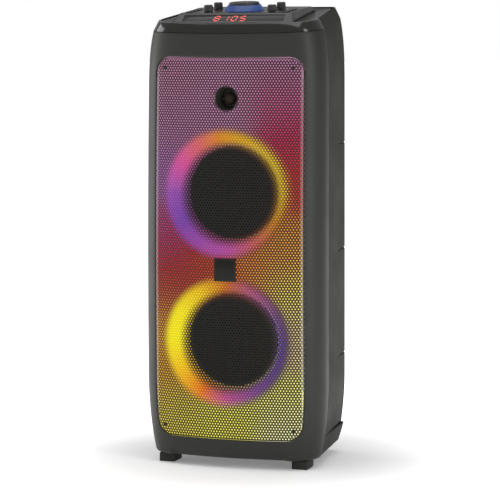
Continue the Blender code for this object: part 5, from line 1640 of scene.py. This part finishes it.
class SPEAKER_OT_woofers(PieceOperator, bpy.types.Operator):
    """Makes the cones and their rolled surrounds"""

    bl_idname = "speaker.woofers"
    bl_label = "Woofers"

    def make(self, settings):
        paper = ribbed_finish("Pressed paper", tone(30, 30, 28), 0.85, 0.004)
        soft = rubber()
        for place in WOOFER_HEIGHTS:
            low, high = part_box(f"surround_{place}")
            centre = ((low.x + high.x) / 2, high.y, (low.z + high.z) / 2)
            outer = (high.x - low.x) / 2
            roll = high.y - low.y
            inner = outer - 0.010
            turn = np.linspace(0, math.pi, 19)
            middle, half = (outer + inner) / 2, (outer - inner) / 2
            front = [(middle + half * math.cos(a), -0.001 - (roll - 0.001) * math.sin(a)) for a in turn]
            back = [(middle + (half - 0.0008) * math.cos(a), -(roll - 0.0022) * math.sin(a)) for a in turn[::-1]]
            mesh = turned_mesh(f"rolled_surround_{place}", front + back, centre, REARWARD, 128, loop=True)
            make_piece(f"rolled_surround_{place}", mesh, soft, "cabinet", [f"surround_{place}"], 50)

            low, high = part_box(f"cone_{place}")
            rim = (high.x - low.x) / 2
            start = np.array([(low.x + high.x) / 2, low.y, (low.z + high.z) / 2])
            depth = 0.034
            cap = np.linspace(0, 1, 12)
            cap_line = [(0.026 * s, depth - 0.012 + 0.009 * s**2) for s in cap]
            run = np.linspace(0, 1, 14)[1:]
            cone_line = [(0.0265 + (rim - 0.0265) * s, (depth - 0.0028) * (1 - s) ** 1.15) for s in run]
            behind = [(rim, 0.0012), (0.019, depth + 0.001), (0.019, depth + 0.013), (0.0178, depth + 0.013),
                      (0.0178, depth), (0, depth - 0.008)]
            mesh = turned_mesh(f"paper_cone_{place}", cap_line + cone_line + behind, start, REARWARD, 128)
            make_piece(f"paper_cone_{place}", mesh, paper, f"cone_{place}_body", [f"cone_{place}"],
                       30)


class SPEAKER_OT_tweeter(PieceOperator, bpy.types.Operator):
    """Makes the tweeter's horn and dome"""

    bl_idname = "speaker.tweeter"
    bl_label = "Tweeter"

    def make(self, settings):
        low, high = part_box("tweeter_horn")
        place = np.array([(low.x + high.x) / 2, low.y, (low.z + high.z) / 2])
        flange, depth = (high.x - low.x) / 2, high.y - low.y
        throat = 0.0142
        flare = np.linspace(0, 1, 14)
        mouth = [(throat + (0.0225 - throat) * s**1.8, depth * (1 - s)) for s in flare]
        outer = [(flange - 0.0006, 0.0), (flange, 0.0006), (flange, 0.003), (throat + 0.003, depth)]
        mesh = turned_mesh("tweeter_waveguide", mouth + outer, place, REARWARD, 96, loop=True)
        horn = plain_finish("Horn plastic", tone(26, 27, 22), 0.5, grain=900.0, relief=0.12, vary=0.1,
                            specular=0.2)
        make_piece("tweeter_waveguide", mesh, horn, "cabinet", ["tweeter_horn"], 40)
        inner, outside = 0.0236, 0.0335
        collar = [(inner, 0.0), (outside, 0.0), (outside, 0.0006), (inner, 0.0006)]
        mesh = turned_mesh("tweeter_collar", collar, place - REARWARD * 0.0012, REARWARD, 96, loop=True)
        make_piece("tweeter_collar", mesh, bpy.data.materials["Lit panel"], "cabinet")
        low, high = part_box("tweeter_dome")
        radius = (high.x - low.x) / 2
        start = np.array([(low.x + high.x) / 2, low.y, (low.z + high.z) / 2])
        rise = 0.006
        arc = np.linspace(0, 1, 14)
        dome = [(radius * s, rise * (1 - math.sqrt(max(0.0, 1 - 0.92 * s**2))) / (1 - math.sqrt(0.08))) for s in arc]
        dome += [(radius, high.y - low.y), (0, high.y - low.y)]
        mesh = turned_mesh("silk_dome", dome, start, REARWARD, 72)
        silk = plain_finish("Coated silk", tone(44, 33, 26), 0.6, grain=1800.0, relief=0.4, vary=0.2, specular=0.2)
        make_piece("silk_dome", mesh, silk, "tweeter_dome_body", ["tweeter_dome"], 50)


class SPEAKER_OT_feet(PieceOperator, bpy.types.Operator):
    """Makes the four rubber feet"""

    bl_idname = "speaker.feet"
    bl_label = "Feet"

    def make(self, settings):
        for end in ("front", "rear"):
            for side in ("left", "right"):
                node = f"foot_{end}_{side}"
                low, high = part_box(node)
                make_piece(node + "_pad", block_mesh(node + "_pad", low, high, 0.0016, 3), rubber(),
                           "cabinet", [node])


class SPEAKER_OT_rear(PieceOperator, bpy.types.Operator):
    """Finishes the rear plate, the port, the inlet and the rocker"""

    bl_idname = "speaker.rear"
    bl_label = "Rear details"

    def make(self, settings):
        plate = plain_finish("Powder-coated steel", tone(34, 34, 33), 0.55, grain=1700.0, relief=0.5, vary=0.12)
        carried_over(["rear_plate"], plate)
        low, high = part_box("rear_plate")
        screws = []
        inset = 0.012
        for x in (low.x + inset, high.x - inset):
            for z in (low.z + inset, (low.z + high.z) / 2, high.z - inset):
                screws.append(cross_screw_mesh("Screw", (x, high.y, z), REARWARD, 0.0032, 0.0018))
        make_piece("rear_screws", joined("rear_screws", screws), zinc_steel(), "cabinet", smooth=30)
        carried_over(["mains_inlet", "port_tube"], black_plastic())
        carried_over(["power_rocker"], knob_plastic())
        low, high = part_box("port_tube")
        centre = ((low.x + high.x) / 2, BACK_Y, (low.z + high.z) / 2)
        inner = (high.x - low.x) / 2 - 0.0025
        turn = np.linspace(0, math.pi / 2, 9)
        flare = [(inner + 0.004 * (1 - math.cos(a)), -0.004 + 0.0038 * math.sin(a)) for a in turn]
        outer = (high.x - low.x) / 2 - 0.0001
        lip = [(outer, -0.0002), (outer, -0.004)]
        mesh = turned_mesh("port_flare", flare[:6] + lip, centre, REARWARD, 96, loop=True)
        make_piece("port_flare", mesh, black_plastic(), "cabinet", smooth=40)


class SPEAKER_OT_inside(PieceOperator, bpy.types.Operator):
    """Finishes the parts inside the cabinet"""

    bl_idname = "speaker.inside"
    bl_label = "Inside"

    def make(self, settings):
        wood = plain_finish("Baffle board", tone(150, 118, 82), 0.75, grain=300.0, relief=0.35, vary=0.3,
                            stretch=(0.2, 1.0, 1.0))
        board = plain_finish("Green circuit board", tone(24, 74, 44), 0.42, grain=220.0, relief=0.3, vary=0.35)
        frame_steel = plain_finish("Pressed steel", tone(92, 92, 95), 0.38, metallic=0.85, grain=600.0, vary=0.15)
        magnet = plain_finish("Magnet", tone(70, 70, 72), 0.5, metallic=0.4, grain=300.0, relief=0.3, vary=0.2)
        cloth = ribbed_finish("Spider cloth", tone(176, 138, 74), 0.85, 0.0016)
        wrap = plain_finish("Battery wrap", tone(70, 78, 140), 0.4, grain=80.0, relief=0.1, vary=0.1)
        carried_over(["baffle"], wood)
        carried_over(["control_board", "amp_board", "power_supply_board"], board)
        carried_over(["basket_lower", "basket_upper", "battery_bracket"], frame_steel)
        carried_over(["magnet_lower", "magnet_upper", "tweeter_magnet"], magnet)
        carried_over(["spider_lower", "spider_upper"], cloth)
        carried_over(["battery"], wrap)


class SPEAKER_PT_panel(bpy.types.Panel):
    """The speaker's settings and pieces"""

    bl_label = "Party speaker"
    bl_idname = "SPEAKER_PT_panel"
    bl_space_type = "VIEW_3D"
    bl_region_type = "UI"
    bl_category = "Speaker"

    def draw(self, context):
        for name in SpeakerSettings.__annotations__:
            self.layout.prop(context.scene.speaker, name)
        for operator in OPERATORS:
            self.layout.operator(operator.bl_idname)


OPERATORS = (
    SPEAKER_OT_studio, SPEAKER_OT_shells, SPEAKER_OT_top, SPEAKER_OT_console, SPEAKER_OT_display, SPEAKER_OT_knobs,
    SPEAKER_OT_keys, SPEAKER_OT_grille, SPEAKER_OT_badge, SPEAKER_OT_lights, SPEAKER_OT_woofers,
    SPEAKER_OT_tweeter,
    SPEAKER_OT_feet, SPEAKER_OT_rear, SPEAKER_OT_inside,
)


def register():
    """Registers the settings, the operators and the panel."""
    bpy.utils.register_class(SpeakerSettings)
    for operator in OPERATORS:
        bpy.utils.register_class(operator)
    bpy.utils.register_class(SPEAKER_PT_panel)
    bpy.types.Scene.speaker = PointerProperty(type=SpeakerSettings)


def unregister():
    """Takes them out again."""
    del bpy.types.Scene.speaker
    bpy.utils.unregister_class(SPEAKER_PT_panel)
    for operator in reversed(OPERATORS):
        bpy.utils.unregister_class(operator)
    bpy.utils.unregister_class(SpeakerSettings)


def main():
    """Builds everything."""
    register()
    for operator in OPERATORS:
        group, name = operator.bl_idname.split(".")
        getattr(getattr(bpy.ops, group), name)()


if __name__ == "__main__":
    main()
